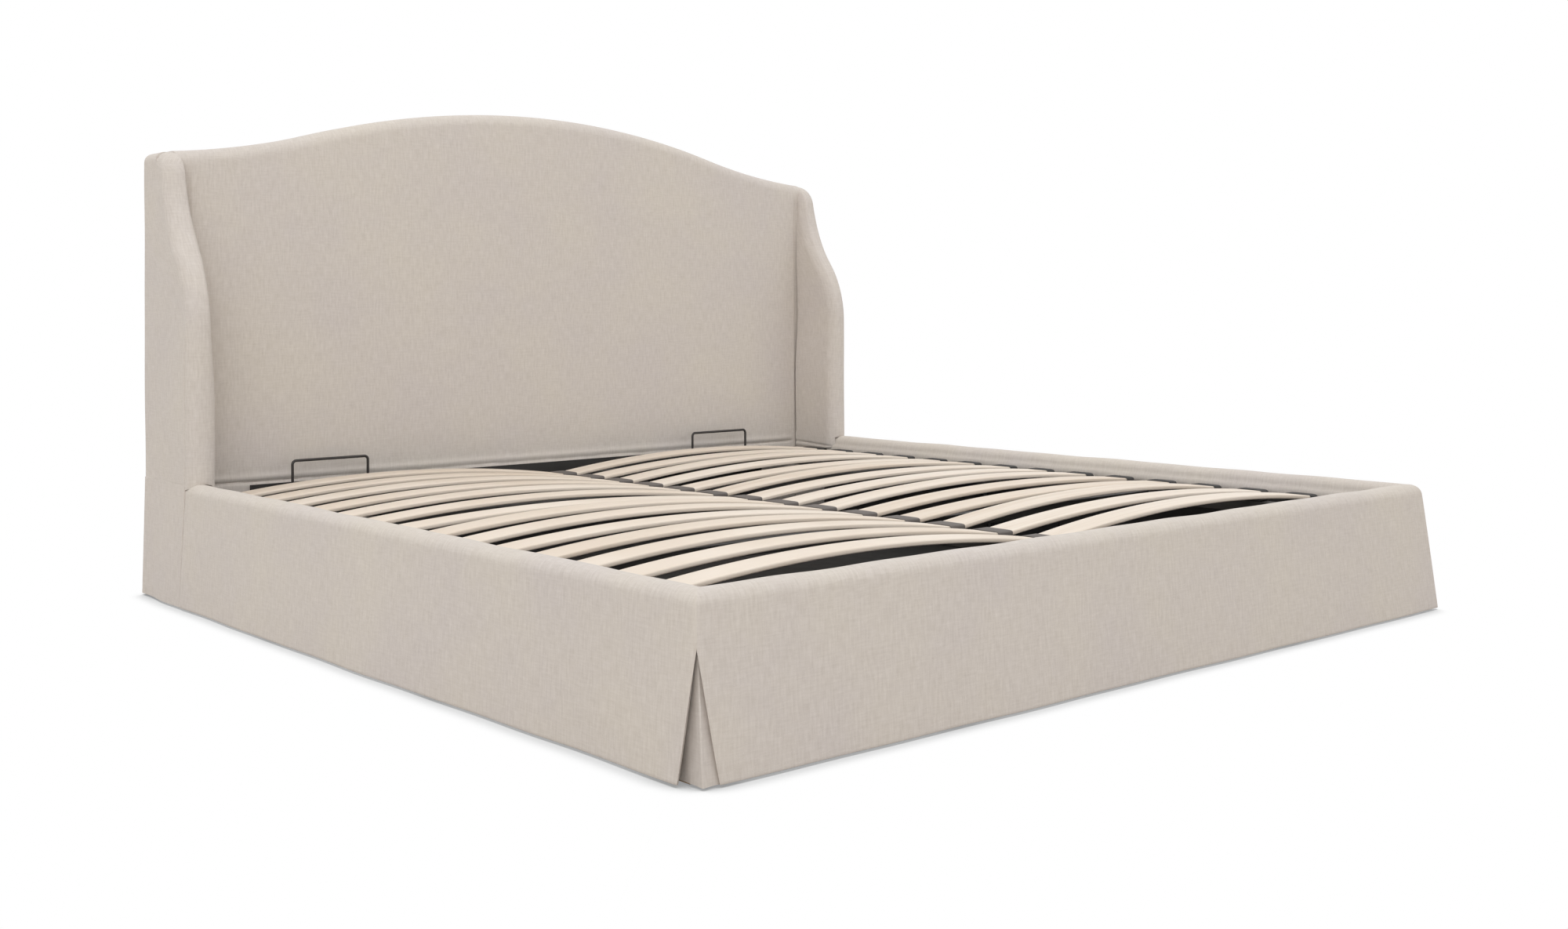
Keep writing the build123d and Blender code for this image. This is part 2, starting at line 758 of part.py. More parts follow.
slot_t = holder_height - 2 * holder_floor
with BuildPart() as side_holders:
    for y in slat_ys:
        with Locations(((holder_in + platform_half) / 2, y, tube_top + side_holder_height / 2)):
            Box(holder_depth, holder_length, side_holder_height)
        with Locations((holder_in + slat_seat / 2, y, holder_mid + slat_rise)):
            Box(slat_seat + 2 * slat_clear, slat_width + 2 * slat_clear, slot_t, mode=Mode.SUBTRACT)

with BuildPart() as centre_holders:
    for y in slat_ys:
        with Locations((0, y, holder_mid)):
            Box(2 * centre_half, holder_length, holder_height)
        for side in (-1, 1):
            with Locations((side * (centre_half - centre_seat / 2), y, holder_mid)):
                Box(centre_seat + 2 * slat_clear, slat_width + 2 * slat_clear, slot_t, mode=Mode.SUBTRACT)

save_pair(slats, "slats")
save_pair(side_holders, "side_holders")
save(centre_holders.part, "centre_holders")

# Wire retainers welded to the head tube stop the mattress from sliding
with BuildPart() as retainer:
    wire_top = retainer_top - wire_d / 2
    retainer_x = platform_half - retainer_inset
    left_x = retainer_x - retainer_half
    right_x = retainer_x + retainer_half
    with BuildLine() as hoop:
        FilletPolyline(
            (left_x, head_tube_y, tube_top),
            (left_x, head_tube_y, wire_top),
            (right_x, head_tube_y, wire_top),
            (right_x, head_tube_y, tube_top),
            radius=retainer_bend,
        )
    with BuildSketch(Plane((left_x, head_tube_y, tube_top))):
        Circle(wire_d / 2)
    sweep()

save_pair(retainer, "retainer")
print("strut shut", round(strut_shut, 1), "open", round(strut_open, 1))
print("glide travel", round(glide_travel, 1))
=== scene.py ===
import json
import math

import bmesh
import bpy
import numpy as np
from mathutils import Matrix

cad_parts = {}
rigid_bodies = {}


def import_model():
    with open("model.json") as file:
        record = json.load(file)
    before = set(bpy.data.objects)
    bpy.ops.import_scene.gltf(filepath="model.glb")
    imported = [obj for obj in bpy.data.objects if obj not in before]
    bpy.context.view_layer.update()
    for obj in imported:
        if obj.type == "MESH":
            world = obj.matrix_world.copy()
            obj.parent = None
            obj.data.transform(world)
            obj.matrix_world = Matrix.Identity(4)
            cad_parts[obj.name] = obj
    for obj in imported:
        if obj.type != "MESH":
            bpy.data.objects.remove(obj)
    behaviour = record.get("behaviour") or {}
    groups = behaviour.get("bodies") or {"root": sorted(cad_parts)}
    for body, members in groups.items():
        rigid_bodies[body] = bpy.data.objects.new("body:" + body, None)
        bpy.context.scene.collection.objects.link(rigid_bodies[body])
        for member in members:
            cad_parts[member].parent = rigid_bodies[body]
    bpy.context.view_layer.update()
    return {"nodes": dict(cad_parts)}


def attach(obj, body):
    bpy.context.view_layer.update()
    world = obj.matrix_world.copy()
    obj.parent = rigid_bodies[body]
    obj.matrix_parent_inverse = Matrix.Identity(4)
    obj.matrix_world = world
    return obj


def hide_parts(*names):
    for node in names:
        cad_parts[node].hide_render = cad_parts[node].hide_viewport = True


for startUp in list(bpy.data.objects):  # Blender's own cube, lamp and camera
    bpy.data.objects.remove(startUp)

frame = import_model()
nodes = frame["nodes"]
scene = bpy.context.scene
scene.view_settings.view_transform = "Standard"
print("frame:", len(nodes), "nodes")


# camera: level, at the photograph's height and heading
view = {
    "place": (-2.5657, -3.0498, 0.7208),
    "heading": 40.9,
    "roll": 0.238,
    "sensor": 36,
    "lens": 38.2,
    "shiftY": -0.1037,
}


def addObject(name, data):
    made = bpy.data.objects.new(name, data)
    scene.collection.objects.link(made)
    return made


def makeCamera():
    data = bpy.data.cameras.new("camera")
    data.sensor_width = view["sensor"]
    data.lens = view["lens"]
    data.shift_y = view["shiftY"]
    scene.camera = addObject("camera", data)
    scene.camera.location = view["place"]
    scene.camera.rotation_euler = (math.pi / 2, math.radians(view["roll"]), math.radians(-view["heading"]))


makeCamera()
print("camera placed")


# one sRGB hex value to linear colour
def tint(code):
    v = np.array([int(code[i : i + 2], 16) for i in (1, 3, 5)]) / 255
    v = np.where(v <= 0.04045, v / 12.92, ((v + 0.055) / 1.055) ** 2.4)
    return (*v.tolist(), 1.0)


# links sockets to a node's inputs and sets the values of others, by name or number
def wire(tree, node, ins):
    for key, value in ins.items():
        if isinstance(value, bpy.types.NodeSocket):
            tree.links.new(value, node.inputs[key])
        else:
            node.inputs[key].default_value = value


# adds one node with its settings and links, and gives its outputs
def put(tree, kind, ins=None, **props):
    node = tree.nodes.new("ShaderNode" + kind)
    for key, value in props.items():
        setattr(node, key, value)
    wire(tree, node, ins or {})
    return node.outputs


def startMaterial(name):
    material = bpy.data.materials.new(name)
    material.use_nodes = True
    tree = material.node_tree
    return material, tree, tree.nodes["Principled BSDF"]


linen = {
    "twill": 0.0024,  # diagonal rib pitch, drawn about twice the real one so that it shows
    "band": 0.0072,  # width of one herringbone band
    "threads": (  # width and length of slubs and of uneven runs, and their shares in warp and weft
        (0.0021, 0.020, (0.4, 0.4)),
        (0.0046, 0.032, (0.85, 0.5)),
    ),
    "contrast": 1.4,
    "level": -0.99,
    "twillShade": 0.03,
    "twillHeight": 0.25,
    "flecks": 380.0,  # to the metre
    "fleckShare": 0.3,
    "casts": 3.0,  # to the metre
    "castShare": 0.38,
    "dark": "#bfb6ad",
    "light": "#dbd4cd",
    "fleck": "#e4ded8",
    "warm": "#d2c9bb",
    "cool": "#c9c0bc",
    "bump": {"Strength": 0.18, "Distance": 0.0004},
    "shader": {"Roughness": 0.92, "Specular IOR Level": 0.18, "Sheen Weight": 0.12, "Sheen Roughness": 0.5},
}


# linen and cotton herringbone: matt, slubs in both threads, pale flecks, warm and cool casts in places
def linenCloth():
    c = linen
    material, tree, shader = startMaterial("linenHerringbone")
    cloth = put(tree, "UVMap", uv_map="weave")[0]
    uv = put(tree, "SeparateXYZ", {0: cloth})
    zig = put(tree, "Math", {0: uv[0], 1: c["band"]}, operation="PINGPONG")[0]
    rib = put(tree, "Math", {0: zig, 1: uv[1]}, operation="ADD")[0]
    turn = put(tree, "Math", {0: rib, 1: 2 * math.pi / c["twill"]}, operation="MULTIPLY")[0]
    twill = put(tree, "Math", {0: turn}, operation="SINE")[0]
    threads = 0.0
    for width, length, shares in c["threads"]:
        wide, long = 1 / width, 1 / length
        for share, stretch in zip(shares, ((wide, long, 1), (long, wide, 1))):  # warp, then weft
            at = put(tree, "VectorMath", {0: cloth, 1: stretch}, operation="MULTIPLY")[0]
            run = put(tree, "TexNoise", {"Vector": at, "Scale": 1, "Detail": 2})[0]
            threads = put(tree, "Math", {0: run, 1: share, 2: threads}, operation="MULTIPLY_ADD")[0]
    thick = put(tree, "Math", {0: threads, 1: c["contrast"], 2: c["level"]}, operation="MULTIPLY_ADD")[0]
    shade = put(tree, "Math", {0: twill, 1: c["twillShade"], 2: thick}, operation="MULTIPLY_ADD")[0]
    pair = {0: shade, 6: tint(c["dark"]), 7: tint(c["light"])}
    mixed = put(tree, "Mix", pair, data_type="RGBA", clamp_factor=True)[2]
    cast = put(tree, "TexNoise", {"Vector": cloth, "Scale": c["casts"], "Detail": 4, "Roughness": 0.6})[0]
    side = put(tree, "MapRange", {0: cast, 1: 0.35, 2: 0.65})[0]
    hue = put(tree, "Mix", {0: side, 6: tint(c["cool"]), 7: tint(c["warm"])}, data_type="RGBA")[2]
    worn = put(tree, "Mix", {0: c["castShare"], 6: mixed, 7: hue}, data_type="RGBA")[2]
    speck = put(tree, "TexNoise", {"Vector": cloth, "Scale": c["flecks"], "Detail": 1})[0]
    pale = put(tree, "MapRange", {0: speck, 1: 0.66, 2: 0.72, 4: c["fleckShare"]})[0]
    colour = put(tree, "Mix", {0: pale, 6: worn, 7: tint(c["fleck"])}, data_type="RGBA")[2]
    raised = put(tree, "Math", {0: twill, 1: c["twillHeight"], 2: threads}, operation="MULTIPLY_ADD")[0]
    bump = put(tree, "Bump", {"Height": raised, **c["bump"]})[0]
    wire(tree, shader, {"Base Color": colour, "Normal": bump, **c["shader"]})
    return material


birch = {
    "pale": "#ebe0d3",
    "grain": "#e0d2c1",
    "deep": "#d2bfaa",
    "grainWidth": 0.0035,
    "grainLength": 0.22,
    "clouds": (2.2, 38, 1),  # broad patches to the metre, along and across
    "apart": 40.0,  # how far apart in the pattern the slats are cut
    "grainShare": 0.75,
    "cloudShare": 0.45,
    "toneShare": 0.35,
    "ply": 0.0016,
    "plyShare": 0.2,
    "bump": {"Strength": 0.15, "Distance": 0.0005},
    "shader": {"Roughness": 0.58, "Specular IOR Level": 0.3},
}


# steam-bent birch plywood slats: sanded, pale, long soft grain, plies at the edges
def birchSlat():
    b = birch
    material, tree, shader = startMaterial("birchPlySanded")
    at = put(tree, "UVMap", uv_map="weave")[0]
    marks = ("tone", "edge", "layer")
    tone, edge, layer = (put(tree, "Attribute", attribute_name=mark)[2] for mark in marks)
    shift = put(tree, "Math", {0: tone, 1: b["apart"]}, operation="MULTIPLY")[0]
    apart = put(tree, "CombineXYZ", {0: shift, 1: shift, 2: shift})[0]
    fine = (1 / b["grainLength"], 1 / b["grainWidth"], 1)
    drawn = put(tree, "VectorMath", {0: at, 1: fine, 2: apart}, operation="MULTIPLY_ADD")[0]
    streak = put(tree, "TexNoise", {"Vector": drawn, "Scale": 1, "Detail": 4})[0]
    broad = put(tree, "VectorMath", {0: at, 1: b["clouds"], 2: apart}, operation="MULTIPLY_ADD")[0]
    cloud = put(tree, "TexNoise", {"Vector": broad, "Scale": 1, "Detail": 2, "Distortion": 0.6})[0]
    grain = put(tree, "MapRange", {0: streak, 1: 0.40, 2: 0.72, 4: b["grainShare"]})[0]
    wood = put(tree, "Mix", {0: grain, 6: tint(b["pale"]), 7: tint(b["grain"])}, data_type="RGBA")[2]
    patch = put(tree, "MapRange", {0: cloud, 1: 0.45, 2: 0.8, 4: b["cloudShare"]})[0]
    aged = put(tree, "Math", {0: tone, 1: b["toneShare"], 2: patch}, operation="MULTIPLY_ADD")[0]
    toned = put(tree, "Mix", {0: aged, 6: wood, 7: tint(b["deep"])}, data_type="RGBA")[2]
    plies = put(tree, "Math", {0: layer, 1: 2 * math.pi / b["ply"]}, operation="MULTIPLY")[0]
    stripe = put(tree, "Math", {0: plies}, operation="SINE")[0]
    lines = put(tree, "MapRange", {0: stripe, 1: 0.0, 2: 1.0, 4: b["plyShare"]})[0]
    seen = put(tree, "Math", {0: lines, 1: edge}, operation="MULTIPLY")[0]
    colour = put(tree, "Mix", {0: seen, 6: toned, 7: tint(b["deep"])}, data_type="RGBA")[2]
    bump = put(tree, "Bump", {"Height": streak, **b["bump"]})[0]
    wire(tree, shader, {"Base Color": colour, "Normal": bump, **b["shader"]})
    return material


pine = {
    "early": "#d9bd94",
    "late": "#b98f5f",
    "rings": (9, 1.4, 42),  # bands to the metre, across, along and up
    "bump": {"Strength": 0.2, "Distance": 0.0006},
    "rough": 0.66,
}


# softwood boards and blocks: planed, growth rings as long bands
def pineBoard():
    p = pine
    material, tree, shader = startMaterial("pinePlaned")
    at = put(tree, "TexCoord")["Object"]
    drawn = put(tree, "VectorMath", {0: at, 1: p["rings"]}, operation="MULTIPLY")[0]
    rings = put(tree, "TexNoise", {"Vector": drawn, "Scale": 1, "Detail": 5, "Distortion": 0.4})[0]
    band = put(tree, "MapRange", {0: rings, 1: 0.35, 2: 0.7})[0]
    colour = put(tree, "Mix", {0: band, 6: tint(p["early"]), 7: tint(p["late"])}, data_type="RGBA")[2]
    bump = put(tree, "Bump", {"Height": rings, **p["bump"]})[0]
    wire(tree, shader, {"Base Color": colour, "Normal": bump, "Roughness": p["rough"]})
    return material


# speckled finishes: name, two colours, roughness, metal, and grain size and bump depth in metres
finishes = {
    "black_lining": ("melamineBlack", "#272523", "#33302d", 0.62, 0.0, 0.0012, 0.0001),
    "zinc_steel": ("zincPlate", "#b4b6b6", "#92969a", 0.36, 1.0, 0.0060, 0.0001),
    "black_steel": ("powderCoatBlack", "#1d1d1e", "#2a2a2b", 0.52, 0.0, 0.0009, 0.0001),
    "strut_black": ("enamelBlack", "#141415", "#1c1c1d", 0.24, 0.0, 0.0100, 0.0),
    "strut_rod": ("chromedRod", "#cfd1d3", "#b9bcc0", 0.12, 1.0, 0.0020, 0.0),
    "frame_steel": ("powderCoatGraphite", "#3a3836", "#46433f", 0.50, 0.0, 0.0009, 0.0001),
    "side_holder": ("rubberBlack", "#2b2928", "#383533", 0.70, 0.0, 0.0015, 0.0001),
    "centre_holder": ("rubberGrey", "#615b57", "#6f6863", 0.68, 0.0, 0.0015, 0.0001),
    "retainer_wire": ("wireLacquer", "#2d2a28", "#3b3734", 0.42, 0.0, 0.0030, 0.0001),
    "rest_rubber": ("rubberFoot", "#1f1e1d", "#2c2a29", 0.80, 0.0, 0.0012, 0.0002),
    "glide_nylon": ("nylonMoulded", "#dcd8cc", "#cfcabd", 0.40, 0.0, 0.0040, 0.0),
}
wear = {"patches": 14.0, "smoother": 0.05, "rougher": 0.07, "bump": 0.4}  # patches to the metre


# coated metal, rubber, nylon or melamine: two close colours in a fine speckle, with its own gloss
def speckled(slotName):
    name, first, second, rough, metal, size, depth = finishes[slotName]
    material, tree, shader = startMaterial(name)
    at = put(tree, "TexCoord")["Object"]
    grit = put(tree, "TexNoise", {"Vector": at, "Scale": 1 / size, "Detail": 2})[0]
    worn = put(tree, "TexNoise", {"Vector": at, "Scale": wear["patches"], "Detail": 3})[0]
    blend = put(tree, "Math", {0: grit, 1: worn}, operation="MULTIPLY")[0]
    part = put(tree, "MapRange", {0: blend, 1: 0.12, 2: 0.40})[0]
    colour = put(tree, "Mix", {0: part, 6: tint(first), 7: tint(second)}, data_type="RGBA")[2]
    ends = {3: rough - wear["smoother"], 4: rough + wear["rougher"]}
    gloss = put(tree, "MapRange", {0: worn, 1: 0.3, 2: 0.7, **ends})[0]
    wire(tree, shader, {"Base Color": colour, "Roughness": gloss, "Metallic": metal})
    if depth:
        bump = put(tree, "Bump", {"Height": grit, "Strength": wear["bump"], "Distance": depth})[0]
        wire(tree, shader, {"Normal": bump})
    return material


materials = {name: speckled(name) for name in finishes}
materials["beige_linen"] = linenCloth()
materials["slat_wood"] = birchSlat()
materials["timber"] = pineBoard()
for node in nodes.values():
    for place in node.material_slots:
        place.material = materials[place.material.name.split(".")[0]]
print("materials:", len(materials))


# smooth step from 0 at a to 1 at b
def ease(a, b, x):
    t = np.clip((x - a) / (b - a), 0, 1)
    return t * t * (3 - 2 * t)


# a soft ridge of height 1 at 0
def bell(x, wide):
    return np.exp(-((x / wide) ** 2))


# half chord of a circle of radius r at distance d from its middle
def arc(r, d):
    return np.sqrt(np.maximum(r**2 - d**2, 0))


# unevenness of cloth: a sum of sines of the given height and wavelengths, with seeded phases and weights
def ripple(x, height, lengths, seed):
    rng = np.random.default_rng(seed)
    phase = rng.uniform(0, 2 * np.pi, len(lengths))
    weight = rng.uniform(0.5, 1, len(lengths))
    waves = np.sin(2 * np.pi * np.asarray(x)[..., None] / np.array(lengths) + phase)
    return height * (waves @ weight / weight.sum())


# arrays brought to one shape as coordinates of a grid's points
def grid(*parts):
    return np.stack(np.broadcast_arrays(*parts), -1)


# a value or an array for each run of columns, side by side; runs without one get 0
def columns(runs, *values):
    values += (0,) * (len(runs) - len(values))
    rows = max(np.atleast_2d(value).shape[0] for value in values)
    parts = [np.broadcast_to(value, (rows, len(run))) for run, value in zip(runs, values)]
    return np.concatenate(parts, 1)


# length run along the columns from the first one, closed back to it at the end
def runRound(pts):
    step = np.linalg.norm(np.roll(pts, -1, axis=-2) - pts, axis=-1)
    return np.concatenate([np.zeros_like(step[..., :1]), np.cumsum(step, axis=-1)], axis=-1)


# weave coordinates in metres: along the piece, and round its section, up or down
def weaveUv(along, section, way=1):
    along = np.concatenate([along, along[..., :1]], axis=-1)
    return grid(along, way * runRound(section))


# rows run along a piece and columns round its closed section; copies of one shape are one mesh
def skin(name, pts, uv, sharp=40, **marks):
    pts = pts.reshape(-1, *pts.shape[-3:])
    count, rows, cols = pts.shape[:3]
    if uv.shape[-2] == cols:
        uv = np.concatenate([uv, uv[..., :1, :]], -2)
    uv = np.broadcast_to(uv, (count, rows, cols + 1, 2))
    ring = pts[0, 0]
    fan = np.cross(ring - ring[0], np.roll(ring, -1, axis=0) - ring[0]).sum(0)
    way = int(np.sign(fan @ (pts[0, -1] - ring).mean(0)))  # -1 turns a section round
    pts, uv = pts[:, :, ::way], uv[:, :, ::way]
    at = np.arange(count * rows * cols).reshape(count, rows, cols)
    after = np.roll(at, -1, axis=2)
    quads = np.stack([at[:, :-1], after[:, :-1], after[:, 1:], at[:, 1:]], -1).reshape(-1, 4)
    quadUv = np.stack([uv[:, :-1, :-1], uv[:, :-1, 1:], uv[:, 1:, 1:], uv[:, 1:, :-1]], 3).reshape(-1, 2)
    ends = np.stack([at[:, 0, ::-1], at[:, -1]], 1).reshape(-1, cols)
    flat = pts.reshape(-1, 3)
    spread = np.sort(np.argsort(np.ptp(pts[0, 0], axis=0))[1:])
    allUv = np.concatenate([quadUv, flat[ends.ravel()][:, spread]])
    mesh = bpy.data.meshes.new(name)
    mesh.from_pydata(flat.tolist(), [], quads.tolist() + ends.tolist())
    mesh.uv_layers.new(name="weave").data.foreach_set("uv", allUv.astype(np.float32).ravel())
    for key, value in marks.items():
        value = np.broadcast_to(value, at.shape)[:, :, ::way].astype(np.float32)
        mesh.attributes.new(key, "FLOAT", "POINT").data.foreach_set("value", value.ravel())
    work = bmesh.new()
    work.from_mesh(mesh)
    bmesh.ops.remove_doubles(work, verts=work.verts, dist=1e-6)  # where columns of a section meet
    work.to_mesh(mesh)
    work.free()
    mesh.shade_smooth()
    mesh.set_sharp_from_angle(angle=math.radians(sharp))
    return addObject(name, mesh)


# gives a piece its finish, its body and the CAD nodes that it stands for
def fit(piece, slotName, body, *replaced):
    piece.data.materials.append(materials[slotName])
    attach(piece, body)
    if replaced:
        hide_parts(*replaced)
    print(piece.name, len(piece.data.vertices))


sideWords = {1: ("Right", "_r"), -1: ("Left", "_l")}  # ends of piece and node names

headboard = {
    "half": 1.020,
    "peak": 1.253,
    "shoulder": 1.099,
    "crownRadius": 2.430,
    "crownHalf": 0.650,
    "faceY": 1.000,
    "boardY": 1.0598,
    "seamY": 1.096,
    "backY": 1.125,
    "bottom": 0.040,
    "round": 0.034,
    "wrap": 0.0158,
    "seamTurn": 0.0012,
    "seamRound": 0.004,
    "steps": (0.050, 0.014, 0.0025),  # stretch of fine steps at each side, step, fine step
    "tuckRows": (0.236, 0.244, 0.312),  # coarse rows up to the first height, fine ones between the others
    "tuckZ": 0.2725,
    "tuckDepth": 0.005,
    "tuckWide": 0.0035,
    "tuckMiddle": 0.35,  # share of the depth at the middle, and where it grows to all of it
    "tuckSides": (0.45, 0.85),
    "tuckEdge": (0.2655, 0.2695),
    "roll": 0.0022,
    "rollUp": 0.012,
    "rollWide": 0.007,
    "pucker": (0.0020, (0.061, 0.093, 0.147, 0.236, 0.410)),  # height and wavelengths
    "puckerUp": 0.01,
    "puckerFade": 0.055,
    "soft": (0.0011, (0.37, 0.53, 0.83)),
    "softLean": 0.31,
    "softFrom": (0.30, 0.42),
    "flatX": (0.955, 0.985),  # the face goes flat towards the wings
    "crease": 0.004,
    "creaseX": (0.983, 0.9935),
    "creaseTop": (1.03, 1.06),
}


# top line: the crown's arc, then the arc tangent to it that ends at the shoulder
def camelTop(x):
    h = headboard
    r = h["crownRadius"]
    a = np.abs(x)
    rise = math.sqrt(r**2 - h["crownHalf"] ** 2)
    nx, nz = h["crownHalf"] / r, rise / r
    dx, dz = h["half"] - h["crownHalf"], h["shoulder"] - h["peak"] + r - rise
    bend = (dx**2 + dz**2) / (2 * (nx * dx + nz * dz))
    cx, cz = h["crownHalf"] + nx * bend, h["peak"] - r + rise + nz * bend
    crown = h["peak"] - r + np.sqrt(r**2 - a**2)
    dip = cz - np.sqrt(bend**2 - (a - cx) ** 2)
    return np.where(a < h["crownHalf"], crown, dip)


# even steps over the middle and fine ones at the two ends
def acrossX(half, fine, step, fineStep):
    middle = np.arange(0, half - fine, step)
    end = np.arange(half - fine, half - fineStep / 2, fineStep)
    right = np.concatenate([middle, end, [half]])
    return np.concatenate([-right[:0:-1], right])


padding = {
    "cloth": {  # Blender's own settings
        "vertex_group_mass": "pinned",
        "use_pressure": True,
        "uniform_pressure_force": 4.0,
        "quality": 8,
        "air_damping": 5.0,
        "tension_stiffness": 1500.0,
        "compression_stiffness": 1500.0,
        "shear_stiffness": 500.0,
        "bending_stiffness": 5.0,
    },
    "frames": 20,
    "cap": 0.006,
    "low": 0.300,
    "sideIn": 0.035,
    "across": 90,
    "up": 40,
}


# a panel of cloth pinned along its edges and blown forward by its padding; gives its points' moves
def blownPanel(pts):
    shape = pts.shape[:2]
    at = np.arange(shape[0] * shape[1]).reshape(shape)
    quads = np.stack([at[:-1, :-1], at[1:, :-1], at[1:, 1:], at[:-1, 1:]], -1).reshape(-1, 4)
    mesh = bpy.data.meshes.new("blownPanel")
    mesh.from_pydata(pts.reshape(-1, 3).tolist(), [], quads.tolist())
    panel = addObject("blownPanel", mesh)
    inner = at[1:-1, 1:-1].ravel()
    panel.vertex_groups.new(name="pinned").add(np.setdiff1d(at, inner).tolist(), 1.0, "REPLACE")
    cloth = panel.modifiers.new("cloth", "CLOTH").settings
    for key, value in padding["cloth"].items():
        setattr(cloth, key, value)
    cloth.effector_weights.gravity = 0
    for step in range(1, padding["frames"] + 1):
        scene.frame_set(step)
    done = panel.evaluated_get(bpy.context.evaluated_depsgraph_get()).data
    place = np.empty(pts.size)
    done.vertices.foreach_get("co", place)
    bpy.data.objects.remove(panel)
    bpy.data.meshes.remove(mesh)
    scene.frame_set(1)
    return pts[..., 1] - place.reshape(pts.shape)[..., 1]


# the padding's push on the headboard's face, from the blown panel: cap * tanh(move / cap)
def facePush(x, z):
    h, p = headboard, padding
    across = np.linspace(p["sideIn"] - h["half"], h["half"] - p["sideIn"], p["across"])
    up = np.linspace(0, 1, p["up"])
    height = camelTop(across)[:, None] - h["round"] - p["low"]
    move = blownPanel(grid(across[:, None], h["faceY"], p["low"] + up * height))
    print("headboard padding pushes up to", round(1000 * float(move.max()), 1), "mm before its cap")
    share = (z - p["low"]) / (camelTop(x)[:, None] - h["round"] - p["low"])
    rows = np.stack([np.interp(x, across, column) for column in move.T], -1)
    push = np.stack([np.interp(at, up, row, 0, 0) for at, row in zip(share, rows)])
    return p["cap"] * np.tanh(push / p["cap"])


# front panel: section up the face, over the rounded top and back inside the board; z = low + share * top,
# and padding, the tuck's roll, puckers and the side crease move the face
def headboardPad():
    h = headboard
    x = acrossX(h["half"], *h["steps"])
    top = camelTop(x)[:, None]
    coarse, fine, above = h["tuckRows"]
    foot = np.concatenate([np.linspace(h["bottom"], coarse, 8), np.linspace(fine, above, 26)])
    t = np.linspace(0, 1, 64)[1:]
    angle = np.linspace(0, np.pi / 2, 12)[1:]
    lip = np.linspace(h["faceY"] + h["round"], h["seamY"] - h["seamRound"], 6)[1:]
    down = np.linspace(0, 1, 7)
    under = np.linspace(h["boardY"], h["faceY"], 5)[1:-1]
    seamY = (h["seamY"] - h["seamTurn"], h["seamY"], h["seamY"])
    seamZ = (-h["seamTurn"], -h["seamRound"], -h["wrap"])
    crown = h["faceY"] + h["round"] * (1 - np.cos(angle))
    rise = above - t * (h["round"] + above)
    drop = h["bottom"] * down - h["wrap"] * (1 - down)
    runs = (foot, t, angle, lip, seamY, down, under)
    y = columns(runs, h["faceY"], h["faceY"], crown, lip, seamY, h["boardY"], under)[0]
    low = columns(runs, foot, rise, h["round"] * (np.sin(angle) - 1), 0, seamZ, drop, h["bottom"])[0]
    share = columns(runs, 0, t, 1, 1, 1, 1 - down)[0]
    face = columns(runs, 1, 1, np.cos(angle) ** 2)[0]
    z = low + share * top
    side = np.abs(x)[:, None]
    up = z - h["tuckZ"]
    deep = h["tuckMiddle"] + (1 - h["tuckMiddle"]) * ease(*h["tuckSides"], side)
    pulled = h["tuckDepth"] * deep * bell(up, h["tuckWide"])
    roll = h["roll"] * bell(up - h["rollUp"], h["rollWide"])
    fade = np.where(up > 0, np.exp(-np.maximum(up - h["puckerUp"], 0) / h["puckerFade"]), 0)
    pucker = ripple(x, *h["pucker"], 3)[:, None] * fade
    soft = ripple(x[:, None] + h["softLean"] * z, *h["soft"], 5) * ease(*h["softFrom"], z)
    move = (facePush(x, z) + roll + pucker + soft) * ease(*h["tuckEdge"], z) - pulled
    crease = h["crease"] * ease(*h["creaseX"], side) * (1 - ease(*h["creaseTop"], z))
    move = move * (1 - ease(*h["flatX"], side)) - crease
    pts = grid(x[:, None], y - face * move, z)
    uv = grid(x[:, None], z + np.maximum(y - h["faceY"], 0))
    pad = skin("headboardPad", pts, uv)
    fit(pad, "beige_linen", "base", "headboard_pad")


backPanel = {
    "gap": 0.0004,
    "steps": (0.030, 0.017, 0.003),
    "round": 0.020,
    "hem": 0.004,
    "lipY": (0.0014, 0.004),
    "lipZ": (-0.0012, 0),
    "swell": 0.0035,
    "swellPower": 6,
    "swellZ": (0.02, 0.2),
    "soft": (0.0010, (0.29, 0.47, 0.71)),
    "softLean": 0.2,
}


# back panel: a thin quilted slab under the same top line, rounded over its back edge
def headboardBack():
    h, b = headboard, backPanel
    x = acrossX(h["half"] - b["gap"], *b["steps"])
    top = camelTop(x)[:, None]
    inY, r, hem = h["seamY"] + b["gap"], b["round"], b["hem"]
    lipY = h["seamY"] + np.array(b["lipY"])
    rise = np.linspace(0, 1, 4)
    angle = np.linspace(0, np.pi / 2, 9)
    t = np.linspace(0, 1, 30)[1:]
    inner = hem * (1 - rise) - h["seamRound"] * rise
    runs = (rise, lipY, angle, t, (0,))
    y = columns(runs, inY, lipY, h["backY"] - r + r * np.sin(angle), h["backY"], (h["backY"] + inY) / 2)[0]
    low = columns(runs, inner, b["lipZ"], r * (np.cos(angle) - 1), hem * t - r * (1 - t), hem)[0]
    share = columns(runs, rise, 1, 1, 1 - t)[0]
    back = columns(runs, 0, 0, np.sin(angle) ** 2, 1)[0]
    z = low + share * top
    start, full = b["swellZ"]
    fill = ease(start, full, z) * (1 - ease(top - full, top - start, z))
    swell = b["swell"] * (1 - (x[:, None] / h["half"]) ** b["swellPower"]) * fill
    soft = ripple(x[:, None] - b["softLean"] * z, *b["soft"], 7)
    pts = grid(x[:, None], y + back * (swell + soft), z)
    panel = skin("headboardBack", pts, weaveUv(pts[..., 0], pts))
    fit(panel, "beige_linen", "base", "headboard_back")


